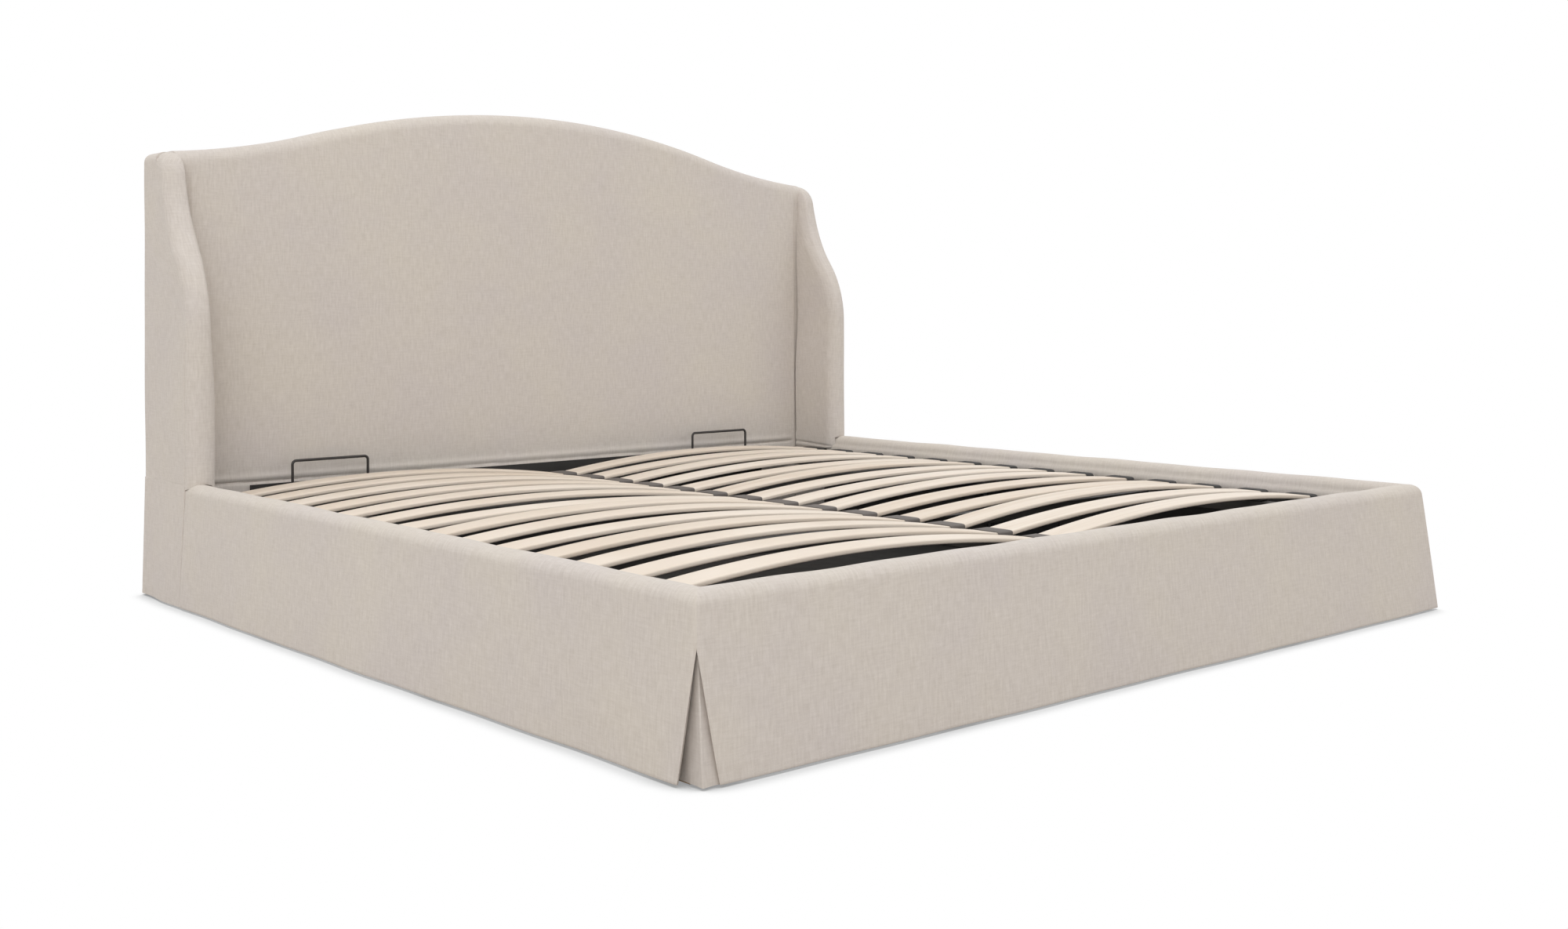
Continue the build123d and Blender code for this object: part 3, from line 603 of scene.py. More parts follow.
wing = {
    "midX": 1.025,
    "half": 0.035,
    "edge": 0.033,
    "noseY": 0.824,
    "seamY": 0.859,
    "backY": 1.125,
    "innerY": 1.0045,
    "innerX": 1.0205,
    "bendZ": 0.662,
    "frontRadius": 0.300,
    "frontSweep": 38,
    "shoulderRadius": 0.400,
    "shoulderSweep": 30,
    "topRadius": 0.068,
    "crown": 0.023,
    "backRound": 0.014,
    "lap": 0.040,
    "lapZ": (1.02, 1.06),
    "railZ": 0.294,
    "hemZ": 0.004,
    "footRows": (0, 0.0012, 0.0035, 0.008, 0.014, 0.022),  # above the rail's top
    "lowerRows": (0.33, 0.655),
    "upperFrom": 0.665,
    "seamSteps": (0.0012, 0.0024, 0.0036, 0.005, 0.008, 0.014),  # columns close behind the nose
    "seamTop": (0.632, 0.648),
    "seamDepth": 0.0024,
    "seamWide": 0.0022,
    "puff": 0.0024,
    "puffLength": 0.26,
    "puffFrom": (0.30, 0.45),
    "puffTop": (0.98, 1.06),
    "puffInside": 0.8,
    "wave": (0.0011, (0.17, 0.29, 0.43)),
    "waveLean": 0.6,
    "waveTop": (1.0, 1.08),
    "footRound": 0.018,
    "footIn": 0.0025,
    "thin": 0.009,
    "thinFrom": (0.48, 0.68),
    "thinTop": (0.86, 1.0),
    "thinMore": 0.5,
    "noseFade": (0.2, 1),
    "noseFoot": (-0.55, 0.1),
    "sag": 0.013,
    "sagHeight": 0.028,
}


# centres of the wing outline's arcs: front, shoulder and top, each tangent to the one before
def wingArcs():
    w = wing
    lean = math.radians(w["frontSweep"])
    stand = math.radians(w["frontSweep"] - w["shoulderSweep"])
    front = np.array([w["noseY"] + w["frontRadius"], w["bendZ"]])
    out, back = np.array([-math.cos(lean), math.sin(lean)]), np.array([math.cos(stand), -math.sin(stand)])
    shoulder = front + (w["frontRadius"] + w["shoulderRadius"]) * out
    crest = shoulder + (w["shoulderRadius"] + w["topRadius"]) * back
    return front, shoulder, crest, lean, stand


# front edge of a wing at height z, set in by e: straight, arc back, arc up, arc over the top
def wingNose(z, e):
    w = wing
    front, shoulder, crest, lean, stand = wingArcs()
    r1, r2, r3 = w["frontRadius"] - e, w["shoulderRadius"] + e, w["topRadius"] - e
    arcs = [front[0] - arc(r1, z - front[1]), shoulder[0] + arc(r2, z - shoulder[1])]
    bends = [z < front[1], z < front[1] + r1 * math.sin(lean), z < shoulder[1] - r2 * math.sin(stand)]
    return np.select(bends, [front[0] - r1, *arcs], crest[0] - arc(r3, z - crest[1]))


# how far a rounded edge of radius r lies in at distance q from the middle of a piece half thick
def edgeInset(q, half, r):
    return r - arc(r, np.maximum(np.abs(q) - (half - r), 0))


# columns round a wing: inner face, round nose, outer face, back corner and the side against the headboard
def wingColumns():
    return (
        np.linspace(0, 1, 20)[:-1],
        np.sin(np.linspace(-np.pi / 2, np.pi / 2, 27)),
        np.linspace(0, 1, 16)[1:],
        np.linspace(0, np.pi / 2, 6)[1:],
        np.linspace(1, 0, 7),
    )


# padded body of a wing above the rail: level rings along its outline, out by its filling and waves, in at
# the seam and the foot, and thinner towards the top
def wingBody(seed):
    w = wing
    t, turn, s, a, g = wingColumns()
    crestZ = wingArcs()[2][1] + w["topRadius"]
    lower = np.concatenate([w["railZ"] + np.array(w["footRows"]), np.linspace(*w["lowerRows"], 24)])
    upper = np.linspace(w["upperFrom"], crestZ - w["crown"], 50)
    crown = crestZ - w["crown"] + w["crown"] * np.sin(np.linspace(0, np.pi / 2, 14)[1:])
    z = np.concatenate([lower, upper, crown])[:, None]
    over = w["half"] - w["crown"] + np.maximum(z - crestZ + w["crown"], 0)
    half = w["half"] - edgeInset(over, w["half"], w["crown"])
    q = half * turn
    nose = wingNose(z, edgeInset(q, w["half"], w["edge"]))
    start = nose[:, :1]
    backTo = w["innerY"] + w["lap"] * ease(*w["lapZ"], z)
    corner = np.minimum(w["backRound"], half)
    near = start + np.array(w["seamSteps"])
    outer = np.concatenate([near, near[:, -1:] + s * (w["backY"] - corner - near[:, -1:])], 1)
    backX = w["midX"] + half - corner * (1 - np.cos(a))
    backY = w["backY"] - corner * (1 - np.sin(a))
    runs = (t, turn, outer[0], a, g)
    x = columns(runs, w["midX"] - half, w["midX"] + q, w["midX"] + half, backX, w["innerX"])
    y = columns(runs, backTo + t * (start - backTo), nose, outer, backY, backTo + g * (w["backY"] - backTo))
    outside = columns(runs, 0, ease(*w["noseFade"], turn), 1, np.cos(a) ** 2)
    inside = columns(runs, 1, ease(*w["noseFade"], -turn))
    part = np.clip((y - w["seamY"]) / w["puffLength"], 0, 1)
    fill = 4 * part * (1 - part) * ease(*w["puffFrom"], z) * (1 - ease(*w["puffTop"], z))
    wave = ripple(y + w["waveLean"] * z, *w["wave"], seed) * (1 - ease(*w["waveTop"], z))
    seam = bell(y - w["seamY"], w["seamWide"]) * (1 - ease(*w["seamTop"], z))
    thin = w["thin"] * (ease(*w["thinFrom"], z) + w["thinMore"] * ease(*w["thinTop"], z))
    x = x + outside * (w["puff"] * fill + wave - w["seamDepth"] * seam)
    x = x - inside * (w["puffInside"] * w["puff"] * fill + wave - thin)
    x[:, 0] = np.where(z[:, 0] < w["lapZ"][0], w["innerX"], x[:, 0])
    low = np.clip((w["railZ"] + w["footRound"] - z) / w["footRound"], 0, 1)
    y = y + w["footIn"] * columns(runs, 0, ease(*w["noseFoot"], turn)) * (1 - np.sqrt(1 - low**2))
    sunk = columns(runs, 0, turn**2) * (1 - ease(w["railZ"], w["railZ"] + w["sagHeight"], z))
    return grid(x, y, z - w["sag"] * sunk)


skirt = {
    "hemRows": (0.004, 0.0055, 0.009),
    "rows": (0.016, 0.276),
    "joinRows": (0.285, 0.2905, 0.2932),
    "thick": 0.0136,
    "thinner": 0.0066,  # how much thinner at the hem
    "rim": 0.002,
    "seamGap": 0.0004,
    "seamEase": 0.0025,
    "innerEase": 0.003,
    "innerY": 1.100,
    "backRound": 0.011,
    "backTurn": 0.8,
    "backIn": (0, 0.008, 0.016, 0.0235),  # columns of the cloth turned in behind
    "backEnd": (0.0236, 0.0246),
    "flare": 0.014,
    "backFlare": 0.006,
    "wave": (0.0026, (0.19, 0.33)),
    "sway": (0.0022, (1.0,)),
    "swayAt": 0.3,
}


# hanging cloth of a wing below the rail's top: level rings of a thin sheet, round the back corner, out by
# drop * (flare + waves), with drop from 0 at the rail's top to 1 at the hem
def wingSkirt(seed):
    w, k = wing, skirt
    t, turn, s, a, g = wingColumns()
    z = np.concatenate([k["hemRows"], np.linspace(*k["rows"], 22), k["joinRows"]])[:, None]
    drop = (w["railZ"] - z) / (w["railZ"] - w["hemZ"])
    thick = k["thick"] - k["thinner"] * drop
    rim = 0.5 * (thick - k["rim"]) * (1 - ease(*k["hemRows"][:2], z))
    mid, reach = w["midX"] + w["half"] - thick / 2, thick / 2 - rim
    frontY = w["seamY"] + k["seamGap"]
    near = frontY + k["seamEase"] + np.array(w["seamSteps"])
    backY = w["backY"] - k["backRound"]
    outer = np.concatenate([near, near[-1] + s * (backY - near[-1])])
    turned = w["backY"] - np.array(k["backIn"])
    last = w["backY"] - np.linspace(*k["backEnd"], len(g) - len(turned))
    runs = (t, turn, outer, a, turned, last)
    backX = mid + reach - k["backTurn"] * thick * (1 - np.cos(a))
    x = columns(runs, mid - reach, mid + reach * turn, mid + reach, backX, w["innerX"], mid - reach)
    y = columns(
        runs,
        k["innerY"] + t * (frontY + k["innerEase"] - k["innerY"]),
        frontY + k["seamEase"] * np.abs(turn) ** 4,
        outer,
        backY + k["backRound"] * np.sin(a),
        turned,
        last,
    )
    flare = k["flare"] + (k["backFlare"] - k["flare"]) * ease(w["seamY"], w["backY"], y)
    waves = ripple(y, *k["wave"], seed + 1) + ripple(k["swayAt"], *k["sway"], seed)
    x = x + columns(runs, 1, 1, 1, 1) * drop * (flare + waves)
    return grid(x, y, z)


# a wing: its hanging cloth and its padded body, ring on ring from hem to top
def wingPad(side, seed):
    word, end = sideWords[side]
    pts = np.concatenate([wingSkirt(seed), wingBody(seed)])
    t, turn = wingColumns()[:2]
    fold = len(t) + len(turn) - 1
    along = runRound(pts)[..., :-1]
    along = along - along[:, fold : fold + 1]
    rows = pts[:, fold + 9, 2]  # heights on the outer face
    uv = grid(along, rows[:, None])
    pad = skin("wing" + word, pts * np.array([side, 1, 1]), uv, 50)
    fit(pad, "beige_linen", "base", "wing_pad" + end)


tuck = {
    "innerX": 0.990,
    "lipX": 1.0056,
    "boardX": 1.0194,
    "lowY": 0.8762,
    "seamY": 0.8602,
    "backY": 1.0004,
    "lowRows": (0.037, 0.1894),
    "plateZ": 0.190,
    "behindTop": 0.250,
    "underLedge": 0.2538,
    "ledge": 0.2542,
    "topRows": (0.2665, 0.304),
    "round": 0.010,
    "noseEnd": -0.585,
    "noseFade": (0.6, 1),
    "lean": 0.6,
    "foldY": 0.93,
    "foldZ": 0.268,
    "foldLean": 0.05,
    "foldWide": 0.0032,
    "foldDepth": 0.0035,
    "proud": 0.0005,
}


# inside cloth of a wing, carried on below the rail's top: level rings, L-shaped where the nose comes over
# the lining, with a fold pressed in at the height of the slats
def wingTuck(side, seed):
    w, k = wing, tuck
    word = sideWords[side][0]
    r = k["round"]
    below = np.linspace(*k["lowRows"], 8)
    behind = np.append(np.linspace(k["plateZ"], k["behindTop"], 9), k["underLedge"])
    lip = k["ledge"] + r * (1 - np.cos(np.linspace(0, np.pi / 2, 7)))
    z = np.concatenate([below, behind, lip, np.linspace(*k["topRows"], 15)])[:, None]
    above = z >= k["ledge"]
    inset = np.where(above, r - arc(r, np.maximum(k["ledge"] + r - z, 0)), 0)
    t = np.linspace(0, 1, 24)[:-1]
    turn = np.sin(np.linspace(-np.pi / 2, k["noseEnd"], 14))
    q = w["half"] * turn
    noseY = np.where(above, w["noseY"] + edgeInset(q, w["half"], w["edge"]) + inset, k["lowY"])
    noseX = np.where(above, w["midX"] + q + k["lean"] * inset, k["innerX"] + q + w["half"])
    noseX = np.minimum(noseX, k["lipX"])
    start, end = noseY[:, :1], noseY[:, -1:]
    seam = np.maximum(end, k["seamY"])
    s = np.linspace(0, 1, 5)[1:]
    back = np.linspace(0, 1, 6)
    boardX = np.where(z < k["plateZ"], k["lipX"], k["boardX"])
    runs = (t, turn, s, back)
    x = columns(runs, k["innerX"] + k["lean"] * inset, noseX, k["lipX"], boardX)
    innerY = k["backY"] + t * (start - k["backY"])
    y = columns(runs, innerY, noseY, end + s * (seam - end), seam + back * (k["backY"] - seam))
    inside = columns(runs, 1, ease(*k["noseFade"], -turn))
    wave = ripple(y + w["waveLean"] * z, *w["wave"], seed)
    fold = bell(z - k["foldZ"] - k["foldLean"] * (y - k["foldY"]), k["foldWide"])
    x = x - inside * (wave - k["foldDepth"] * fold - k["proud"] * (z > w["railZ"]))
    pts = grid(x * side, y, z)
    uv = grid(runRound(pts)[..., :-1], z)
    roll = skin("wingTuck" + word, pts, uv, 60)
    fit(roll, "beige_linen", "base")


cover = {
    "outX": 1.060,
    "footY": -1.111,
    "seamY": 0.8586,
    "width": 0.054,
    "topZ": 0.294,
    "hemZ": 0.004,
    "tuckZ": 0.190,
    "round": 0.024,
    "flare": 0.014,
    "hem": 0.007,
    "rim": 0.0018,
    "boardOut": 0.0137,  # the rail's board, in from the cover's outside, and its top
    "boardIn": 0.0403,
    "onBoard": (0.022, 0.031, 0.0403),
    "boardZ": 0.2804,
    "innerZ": 0.262,
    "liningZ": 0.253,
    "clear": 0.0004,
    "lipFull": 0.0065,
    "lipIn": (5.9, 6.4, 6.4, 7.0, 7.7, 8.0, 7.8, 6.4, 4.6, 3.0, 2.2, 1.0),  # the soft lip, in millimetres
    "lipUp": (0.7, -0.5, -5.0, -6.2, -5.2, -1.0, 4.0, 9.0, 12.2, 14.2, 15.5, 17.6),
    "corner": {1: 0.007, -1: 0.013},  # radius at the right and at the left foot corner
    "least": 0.0006,
    "pleatZ": 0.214,
    "sideFlap": {1: 0.060, -1: 0.041},  # how far the flaps stand back from each corner at the hem
    "footFlap": {1: 0.002, -1: 0.043},
    "flapCurve": 0.14,
    "evenStep": 0.019,  # rows along a rail, and their distances from its corner
    "evenEnd": 0.085,
    "nearCorner": (0.070, 0.058, 0.047, 0.037, 0.029, 0.023, 0.018, 0.0145, 0.012, 0.010),
    "atCorner": 0.0088,
    "edge": 0.004,
    "edgeIn": 0.0016,
    "lean": 0.052,
    "leanY": (-0.45, -1.1),
    "leanX": (-0.2, 1.05),
    "spread": 0.006,
    "spreadY": 0.15,
    "spreadWide": 0.5,
    "hangFrom": 0.264,
    "hangPower": 1.4,
    "wave": (0.0030, (0.31, 0.53, 0.97)),
    "full": (0.0011, (0.12, 0.21, 0.37)),
    "uneven": (0.0013, (0.21, 0.34, 0.57)),
    "unevenFrom": 0.272,
    "scallop": (0.0014, (0.19, 0.31)),
    "slatScallop": 0.0018,
}


# section of a rail cover, as outward offset and height: up behind the lining, a soft lip over its top with
# a seam above it, the rounded top, the hanging cloth, its hem and back up inside
def coverSection():
    c = cover
    r, w, rim, board = c["round"], c["width"], c["rim"], c["boardZ"]
    a = np.linspace(0, np.pi / 2, 11)[1:]
    behind = np.linspace(c["tuckZ"], c["liningZ"] + c["clear"], 6)
    lipIn = np.array(c["lipIn"]) / 1000
    lipZ = c["liningZ"] + np.array(c["lipUp"]) / 1000
    fall = np.concatenate([np.linspace(0, 0.86, 26), np.linspace(0.88, 1, 9)])[1:]
    bend = np.linspace(0, np.pi, 6)[1:-1]
    rise = np.linspace(0, 1, 12)
    inner = -np.array(c["onBoard"])
    down = np.linspace(c["innerZ"], c["tuckZ"], 4)
    low, shoulder = c["hemZ"] + rim, c["topZ"] - r
    runs = (behind, lipIn, a, a, fall, bend, rise, inner, down)
    offset = columns(
        runs,
        -w,
        -w - lipIn,
        -w + r * (1 - np.cos(a)),
        -r + r * np.sin(a),
        c["flare"] * fall,
        c["flare"] - c["hem"] / 2 * (1 - np.cos(bend)),
        c["flare"] - c["hem"] + rise * (c["hem"] - c["flare"] - c["boardOut"]),
        inner,
        -c["boardIn"],
    )[0]
    height = columns(
        runs,
        behind,
        lipZ,
        shoulder + r * np.sin(a),
        shoulder + r * np.cos(a),
        shoulder - fall * (shoulder - low),
        low - rim * np.sin(bend),
        low + rise * (board - low),
        board,
        down,
    )[0]
    outside = columns(runs, 0, 0, 0, np.sin(a), 1, 1, 1 - rise)[0]
    within = columns(runs, 0, lipIn > c["lipFull"])[0]
    lip = columns(runs, 0, lipZ < c["liningZ"] - c["clear"])[0]
    return offset, height, outside, within, lip


# steps along a rail as shares of its run, fine at the corner
def alongRail(length):
    c = cover
    even = np.linspace(0, length - c["evenEnd"], int(length / c["evenStep"]))
    near = np.concatenate([c["nearCorner"], np.linspace(c["atCorner"], 0, 12)])
    return np.concatenate([even, length - near]) / length


# softness of a cover: a lip that hangs in scallops, waves of the hanging cloth and an uneven top
def coverSoft(run, section, seed):
    c = cover
    offset, z, outside, within, lip = section
    drop = np.clip((c["hangFrom"] - z) / (c["hangFrom"] - c["hemZ"]), 0, 1)
    hang = outside * drop ** c["hangPower"] * ripple(run, *c["wave"], seed)
    full = within * ripple(run, *c["full"], seed + 1)
    onTop = ease(c["unevenFrom"], c["topZ"], z) * (z > c["boardZ"] + c["clear"])
    top = onTop * ripple(run, *c["uneven"], seed + 2)
    loose = ripple(run, *c["scallop"], seed + 3)
    scallop = lip * (loose + c["slatScallop"] * np.cos(2 * np.pi * run / slat["pitch"]))
    return offset + hang - full, z + top - scallop


# a cover's section carried along its rail, straight and then in an arc to the mitre, as places along the
# rail and out from it; below the pleat's top the flap's edge stands back from the corner
def coverRun(share, length, side, flaps, head, seed):
    c = cover
    section = coverSection()
    offset, z, outside, within, _ = section
    run = share * length
    soft, height = coverSoft(run, section, seed)
    right = np.asarray(side) > 0
    bend = np.maximum(c["least"], np.where(right, c["corner"][1], c["corner"][-1]) + soft)
    straight = length + soft - bend
    t = np.clip(1 - z / c["pleatZ"], 0, 1)
    back = np.where(right, flaps[1], flaps[-1]) * t * (1 - c["flapCurve"] + c["flapCurve"] * t)
    s = np.abs(share) * (straight + bend * np.pi / 4 - back)
    a = np.clip((s - straight) / bend, 0, np.pi / 4)
    along = np.minimum(s, straight) + bend * np.sin(a)
    edge = np.clip((np.abs(run) - length) / c["edge"] + 1, 0, 1) + head * np.clip(1 - run / c["edge"], 0, 1)
    out = soft - c["edgeIn"] * edge**2 * (outside + within) - bend * (1 - np.cos(a))
    fall = np.clip(1 - height / c["topZ"], 0, 1) * outside
    uv = weaveUv(np.sign(share) * s, grid(offset, z), -1)  # of the cloth cut flat
    return along, out, height, fall, uv


# cover of a side rail from the wing's seam to the mitre at the foot; it leans or spreads out as it falls
def sideCover(side, seed):
    c = cover
    word, end = sideWords[side]
    length = c["seamY"] - c["footY"]
    share = alongRail(length)[:, None]
    along, out, z, fall, uv = coverRun(share, length, side, c["sideFlap"], 1, seed)
    y = c["seamY"] - along
    if side > 0:
        push = c["lean"] * ease(*c["leanY"], y)
    else:
        push = c["spread"] * bell(y - c["spreadY"], c["spreadWide"])
    piece = skin("sideCover" + word, grid((c["outX"] + out + push * fall) * side, y, z), uv, 45)
    fit(piece, "beige_linen", "base", "side_cover" + end)


# cover of the foot rail from its middle to both mitres; its right end stands out past the corner
def footCover(seed):
    c = cover
    share = alongRail(c["outX"])
    share = np.concatenate([-share[:0:-1], share])[:, None]
    along, out, z, fall, uv = coverRun(share, c["outX"], share, c["footFlap"], 0, seed)
    x = np.sign(share) * along
    x = x + c["lean"] * ease(*c["leanX"], x) * fall
    piece = skin("footCover", grid(x, c["footY"] - out, z), uv, 45)
    fit(piece, "beige_linen", "base", "foot_cover")


pleat = {
    "reach": 0.070,
    "cloth": 0.003,
    "topZ": 0.230,
    "hemUp": 0.0005,
    "behind": 0.0015,
    "hungIn": 0.0135,
    "deeper": 0.003,
    "fold": 0.004,
    "foldIn": 0.0024,
    "foldFrom": 0.012,
    "foldSteps": (0.008, 0.005, 0.003, 0.0015, 0.0005),
    "bulge": 0.0021,
    "bulgeWide": 0.02,
    "wave": (0.00084, (0.035, 0.06)),
    "waveLean": 0.02,
}


# folded insert behind an open corner: a leg behind each flap and a soft fold between, hung from the rail
def cornerPleat(side, seed):
    c, p = cover, pleat
    word, end = sideWords[side]
    z = np.linspace(p["topZ"], c["hemZ"] + p["hemUp"], 34)[:, None]
    drop = np.clip((c["topZ"] - z) / (c["topZ"] - c["hemZ"]), 0, 1)
    hung = p["cloth"] - p["hungIn"]
    inner = drop * (c["flare"] - c["hem"] + c["boardOut"]) - c["boardOut"]
    face = np.maximum(inner - p["behind"], hung)
    deep = hung + p["deeper"] * drop
    leg = np.concatenate([np.linspace(p["reach"], p["foldFrom"], 12), p["foldSteps"]])
    t = np.concatenate([leg, -leg[::-1]])
    bulge = p["bulge"] * bell(t, p["bulgeWide"])
    out = drop * (bulge + ripple(t + p["waveLean"] * drop, *p["wave"], seed))
    near = np.maximum(np.sqrt(t**2 + p["fold"] ** 2) - p["foldIn"], 0)
    sideIn = np.where(t > 0, 0, near)
    footIn = np.where(t > 0, near, 0)
    rings = []
    for depth in (0.0, p["cloth"]):
        x = c["outX"] + deep - depth + out - sideIn
        y = c["footY"] - face + depth - out + footIn
        rings.append(grid(x, y, z))
    pts = np.concatenate([rings[0], rings[1][:, ::-1]], 1)
    if side > 0:
        pts[..., 0] += c["lean"] * np.clip(1 - pts[..., 2] / c["topZ"], 0, 1)
    uv = grid(np.concatenate([t, t[::-1]]), z)
    piece = skin("pleat" + word, pts * np.array([side, 1, 1]), uv, 60)
    fit(piece, "beige_linen", "base", "corner_pleat" + end)


slat = {
    "count": 14,
    "firstY": 0.854,
    "pitch": 0.1328,
    "width": 0.070,
    "thick": 0.010,
    "edge": 0.0034,
    "bow": 0.027,
    "rise": 0.012,
    "endX": 0.008,
    "farX": 0.942,
    "lowZ": 0.2369,
    "unlike": {  # each slat's bow beyond the usual one, in millimetres, from head to foot
        1: (4, 0, 3, 1, -3.5, 2, -2.5, -2, 0.5, -3, -5.5, 4, 0, 4.5),
        -1: (5, 4, 5, 4, 5, 3, -3, 5, 6, 3, 6, 6, 5, 5),
    },
}


# the slats' places along the bed, from head to foot
def slatY():
    return (slat["firstY"] - slat["pitch"] * np.arange(slat["count"]))[:, None, None]


# a bank of slats: a flat section with eased edges along z = low + rise * u + bow * 4u(1 - u)
def slatBank(side, seed):
    b = slat
    word, end = sideWords[side]
    rng = np.random.default_rng(seed)
    u = np.linspace(0, 1, 42)
    x = b["endX"] + u * (b["farX"] - b["endX"])
    bow = b["bow"] + 0.001 * np.array(b["unlike"][side])[:, None]
    z = b["lowZ"] + b["thick"] / 2 + b["rise"] * u + bow * 4 * u * (1 - u)
    slope = (b["rise"] + bow * 4 * (1 - 2 * u)) / (b["farX"] - b["endX"])
    r = b["edge"]
    a = np.linspace(0, np.pi / 2, 5)
    wide, high = b["width"] / 2 - r, b["thick"] / 2 - r
    corners = ((1, -1, -1), (1, 1, 0), (-1, 1, 1), (-1, -1, 2))
    across = np.concatenate([sx * wide + r * np.cos(a + n * np.pi / 2) for sx, _, n in corners])
    rise = np.concatenate([sz * high + r * np.sin(a + n * np.pi / 2) for _, sz, n in corners])
    turn = 1 / np.sqrt(1 + slope**2)
    px = x[:, None] - (slope * turn)[..., None] * rise
    pts = grid(px * side, slatY() + across, z[..., None] + turn[..., None] * rise)
    uv = grid(x[:, None], runRound(grid(across, rise)))
    tone = rng.uniform(0, 1, b["count"])[:, None, None]
    edge = np.clip((np.abs(across) - wide) / r, 0, 1)
    bank = skin("slats" + word, pts, uv, 60, tone=tone, edge=edge, layer=rise + b["thick"] / 2)
    fit(bank, "slat_wood", "platform", "slats" + end)


holder = {
    "midZ": 0.243,
    "half": 0.038,
    "high": 0.008,
    "slotHalf": 0.0356,
    "slotHigh": 0.0066,
    "floor": 0.0085,
    "centreX": 0.022,
    "sideX": 0.950,
    "depth": 0.030,
    "square": (0.25, 0.45),  # lower is squarer, across and up
    "mouth": ((0.0012, 0, 0), (0, 0.001, 0.0006)),  # the slot: in from the mouth, wider, higher
    "rim": ((0.0004, 0.0006, 0.0004), (0.0025, 0, 0)),  # the outside: in from the mouth, narrower, lower
    "closed": ((0.002, 0, 0), (0.0005, 0.0008, 0.0006), (0, 0.0025, 0.002)),  # the closed end
}


# sleeves with a mouth: stations of x, half width, middle and half height of a rounded section
def sleeves(name, stations, slotName, *replaced):
    a = np.linspace(0, 2 * np.pi, 41)[:-1]
    unitY, unitZ = (np.sign(v) * np.abs(v) ** n for v, n in zip((np.cos(a), np.sin(a)), holder["square"]))
    x, half, mid, high = np.array(stations).T[:, None, :, None]
    pts = grid(x, slatY() + half * unitY, mid + high * unitZ)
    piece = skin(name, pts, weaveUv(pts[..., 0], pts), 50)
    fit(piece, slotName, "platform", *replaced)


# one open end of a sleeve: from the slot's floor out to the eased mouth and back along the outside
def openEnd(mouth, slotZ, midZ, high):
    h = holder
    inside = [(mouth - x, h["slotHalf"] + w, slotZ, h["slotHigh"] + t) for x, w, t in h["mouth"]]
    outside = [(mouth - x, h["half"] - w, midZ, high - t) for x, w, t in h["rim"]]
    return [(h["floor"], h["slotHalf"], slotZ, h["slotHigh"]), *inside, *outside]


# double sleeves on the middle tube and taller single ones on the side tubes
def slatHolders():
    h = holder
    one = openEnd(h["centreX"], h["midZ"], h["midZ"], h["high"])
    both = one + [(-x, w, m, t) for x, w, m, t in reversed(one)]
    sleeves("centreHolders", both, "centre_holder", "centre_holders")
    mid, high = h["midZ"] + slat["rise"] / 2, h["high"] + slat["rise"] / 2
    one = openEnd(h["depth"], h["midZ"] + slat["rise"], mid, high)
    one += [(x, h["half"] - w, mid, high - t) for x, w, t in h["closed"]]
    for side, (word, end) in sideWords.items():
        stations = [(side * (h["sideX"] - x), w, m, t) for x, w, m, t in one]
        sleeves("sideHolders" + word, stations, "side_holder", "side_holders" + end)


headboardPad()
headboardBack()
for side in (1, -1):
    wingPad(side, 11 + side)
    wingTuck(side, 11 + side)
    sideCover(side, 31 + side)
    cornerPleat(side, 41 + side)
    slatBank(side, 51 + side)
footCover(61)
slatHolders()
print("pieces built")


studio = {
    "floor": "#bdb8b3",
    "floorHalf": 40,
    "shadowReach": 0.07,
    "shadow": 0.30,  # the painted shadow's darkest, on the floor close under the hem
    "world": 1.06,
    "lamps": (  # name, place, aim, size, power and spread
        ("key", (-8.2, -7.8, 8.5), (0, 0, 0.4), 6.0, 190.0, 180),
        ("head", (-3.2, -3.4, 3.2), (0.35, 1.0, 0.72), 1.6, 2.5, 48),
    ),
}


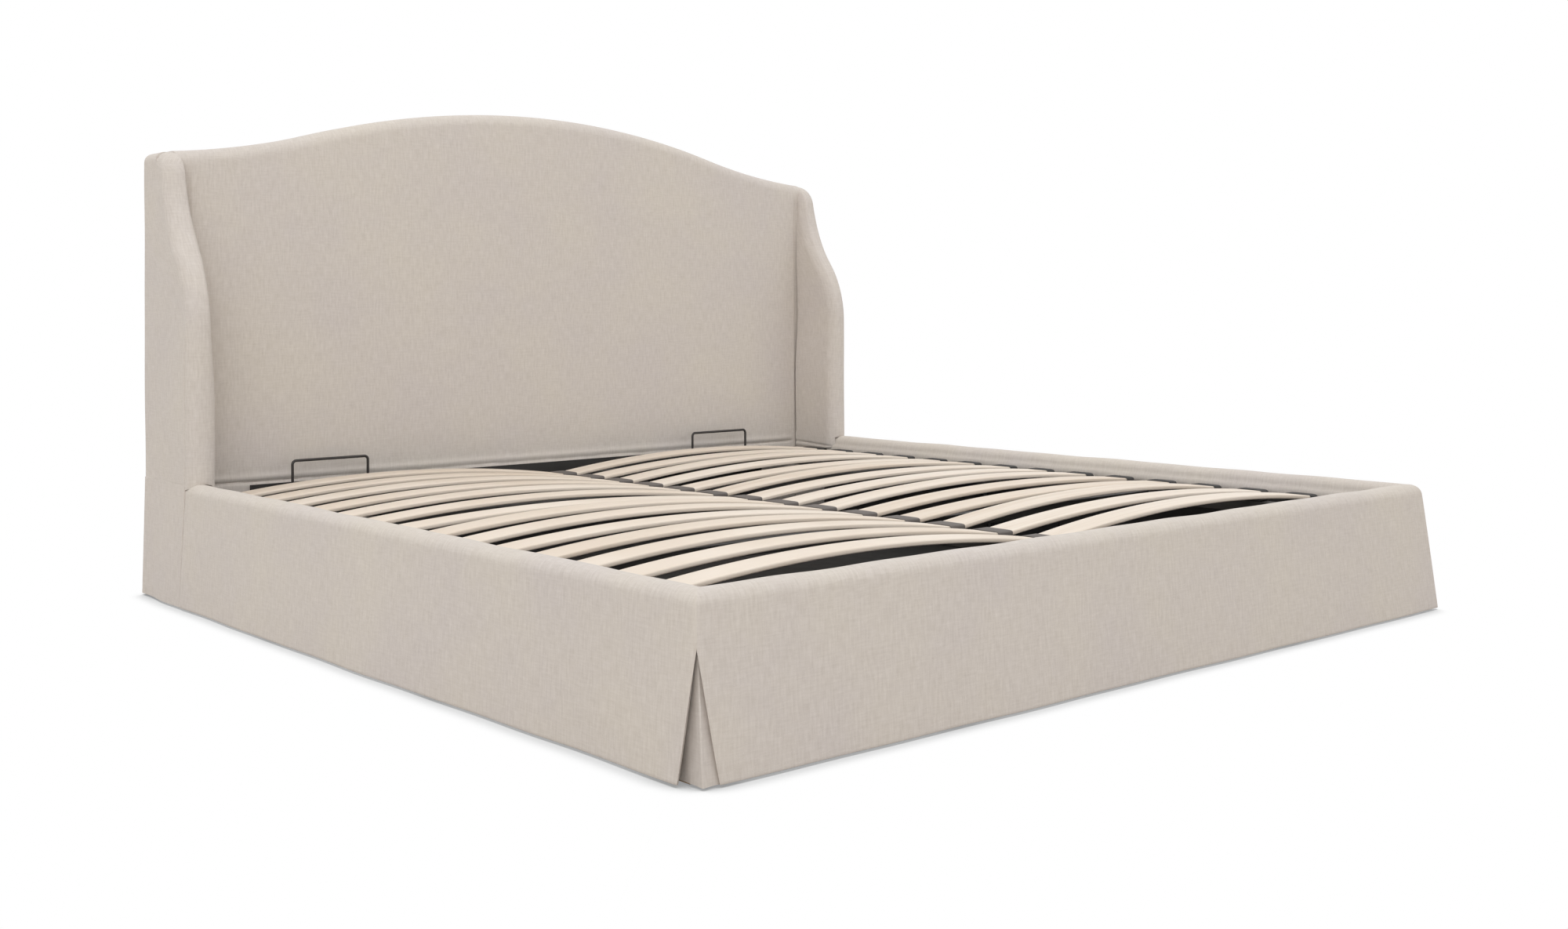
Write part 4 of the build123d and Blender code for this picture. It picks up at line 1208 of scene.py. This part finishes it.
# 1 where the camera sees a surface directly, in a mirror or through glass
def seenBy(tree):
    rays = put(tree, "LightPath")
    seen = rays["Is Camera Ray"]
    for ray in ("Is Glossy Ray", "Is Transmission Ray"):
        seen = put(tree, "Math", {0: seen, 1: rays[ray]}, operation="MAXIMUM")[0]
    return seen


# pale seamless floor: white to the camera with a contact shadow painted into its glow from ambient
# occlusion, plain pale for bounced light
def makeFloor():
    size = studio["floorHalf"]
    mesh = bpy.data.meshes.new("floor")
    corners = [(-size, -size, 0), (size, -size, 0), (size, size, 0), (-size, size, 0)]
    mesh.from_pydata(corners, [], [(0, 1, 2, 3)])
    floor = addObject("floor", mesh)
    material, tree, shader = startMaterial("paleFloor")
    tree.nodes.remove(shader)
    # painted shadow: ambient occlusion close to the object darkens the floor's glow that the camera sees
    near = put(tree, "AmbientOcclusion", {"Distance": studio["shadowReach"]}, samples=12)["AO"]
    soft = put(tree, "MapRange", {0: near, 1: 0.25, 2: 0.80, 3: studio["shadow"]})[0]
    tone = put(tree, "CombineColor", {0: soft, 1: soft, 2: soft})[0]
    glowWithPaintedShadow = put(tree, "Emission", {"Color": tone, "Strength": 1.0})[0]
    matt = put(tree, "BsdfDiffuse", {"Color": tint(studio["floor"])})[0]
    both = put(tree, "MixShader", {0: seenBy(tree), 1: matt, 2: glowWithPaintedShadow})[0]
    wire(tree, tree.nodes["Material Output"], {0: both})
    mesh.materials.append(material)


# white surround: plain white to the camera, softer as light
def makeWorld():
    world = bpy.data.worlds.new("studio")
    scene.world = world
    world.use_nodes = True
    tree = world.node_tree
    level = put(tree, "MapRange", {0: seenBy(tree), 3: studio["world"]})[0]
    wire(tree, tree.nodes["Background"], {"Strength": level, "Color": tint("#ffffff")})


# a large soft lamp aimed at a point, its light kept within an angle
def softLamp(name, place, aim, size, power, spread):
    data = bpy.data.lights.new(name, "AREA")
    data.shape = "DISK"
    data.size = size
    data.energy = power
    data.spread = math.radians(spread)
    lamp = addObject(name, data)
    lamp.location = place
    way = np.array(aim) - np.array(place)
    lamp.rotation_euler = (math.atan2(math.hypot(way[0], way[1]), -way[2]), 0, math.atan2(-way[0], way[1]))


makeFloor()
makeWorld()
for lamp in studio["lamps"]:
    softLamp(*lamp)
print("studio lit")
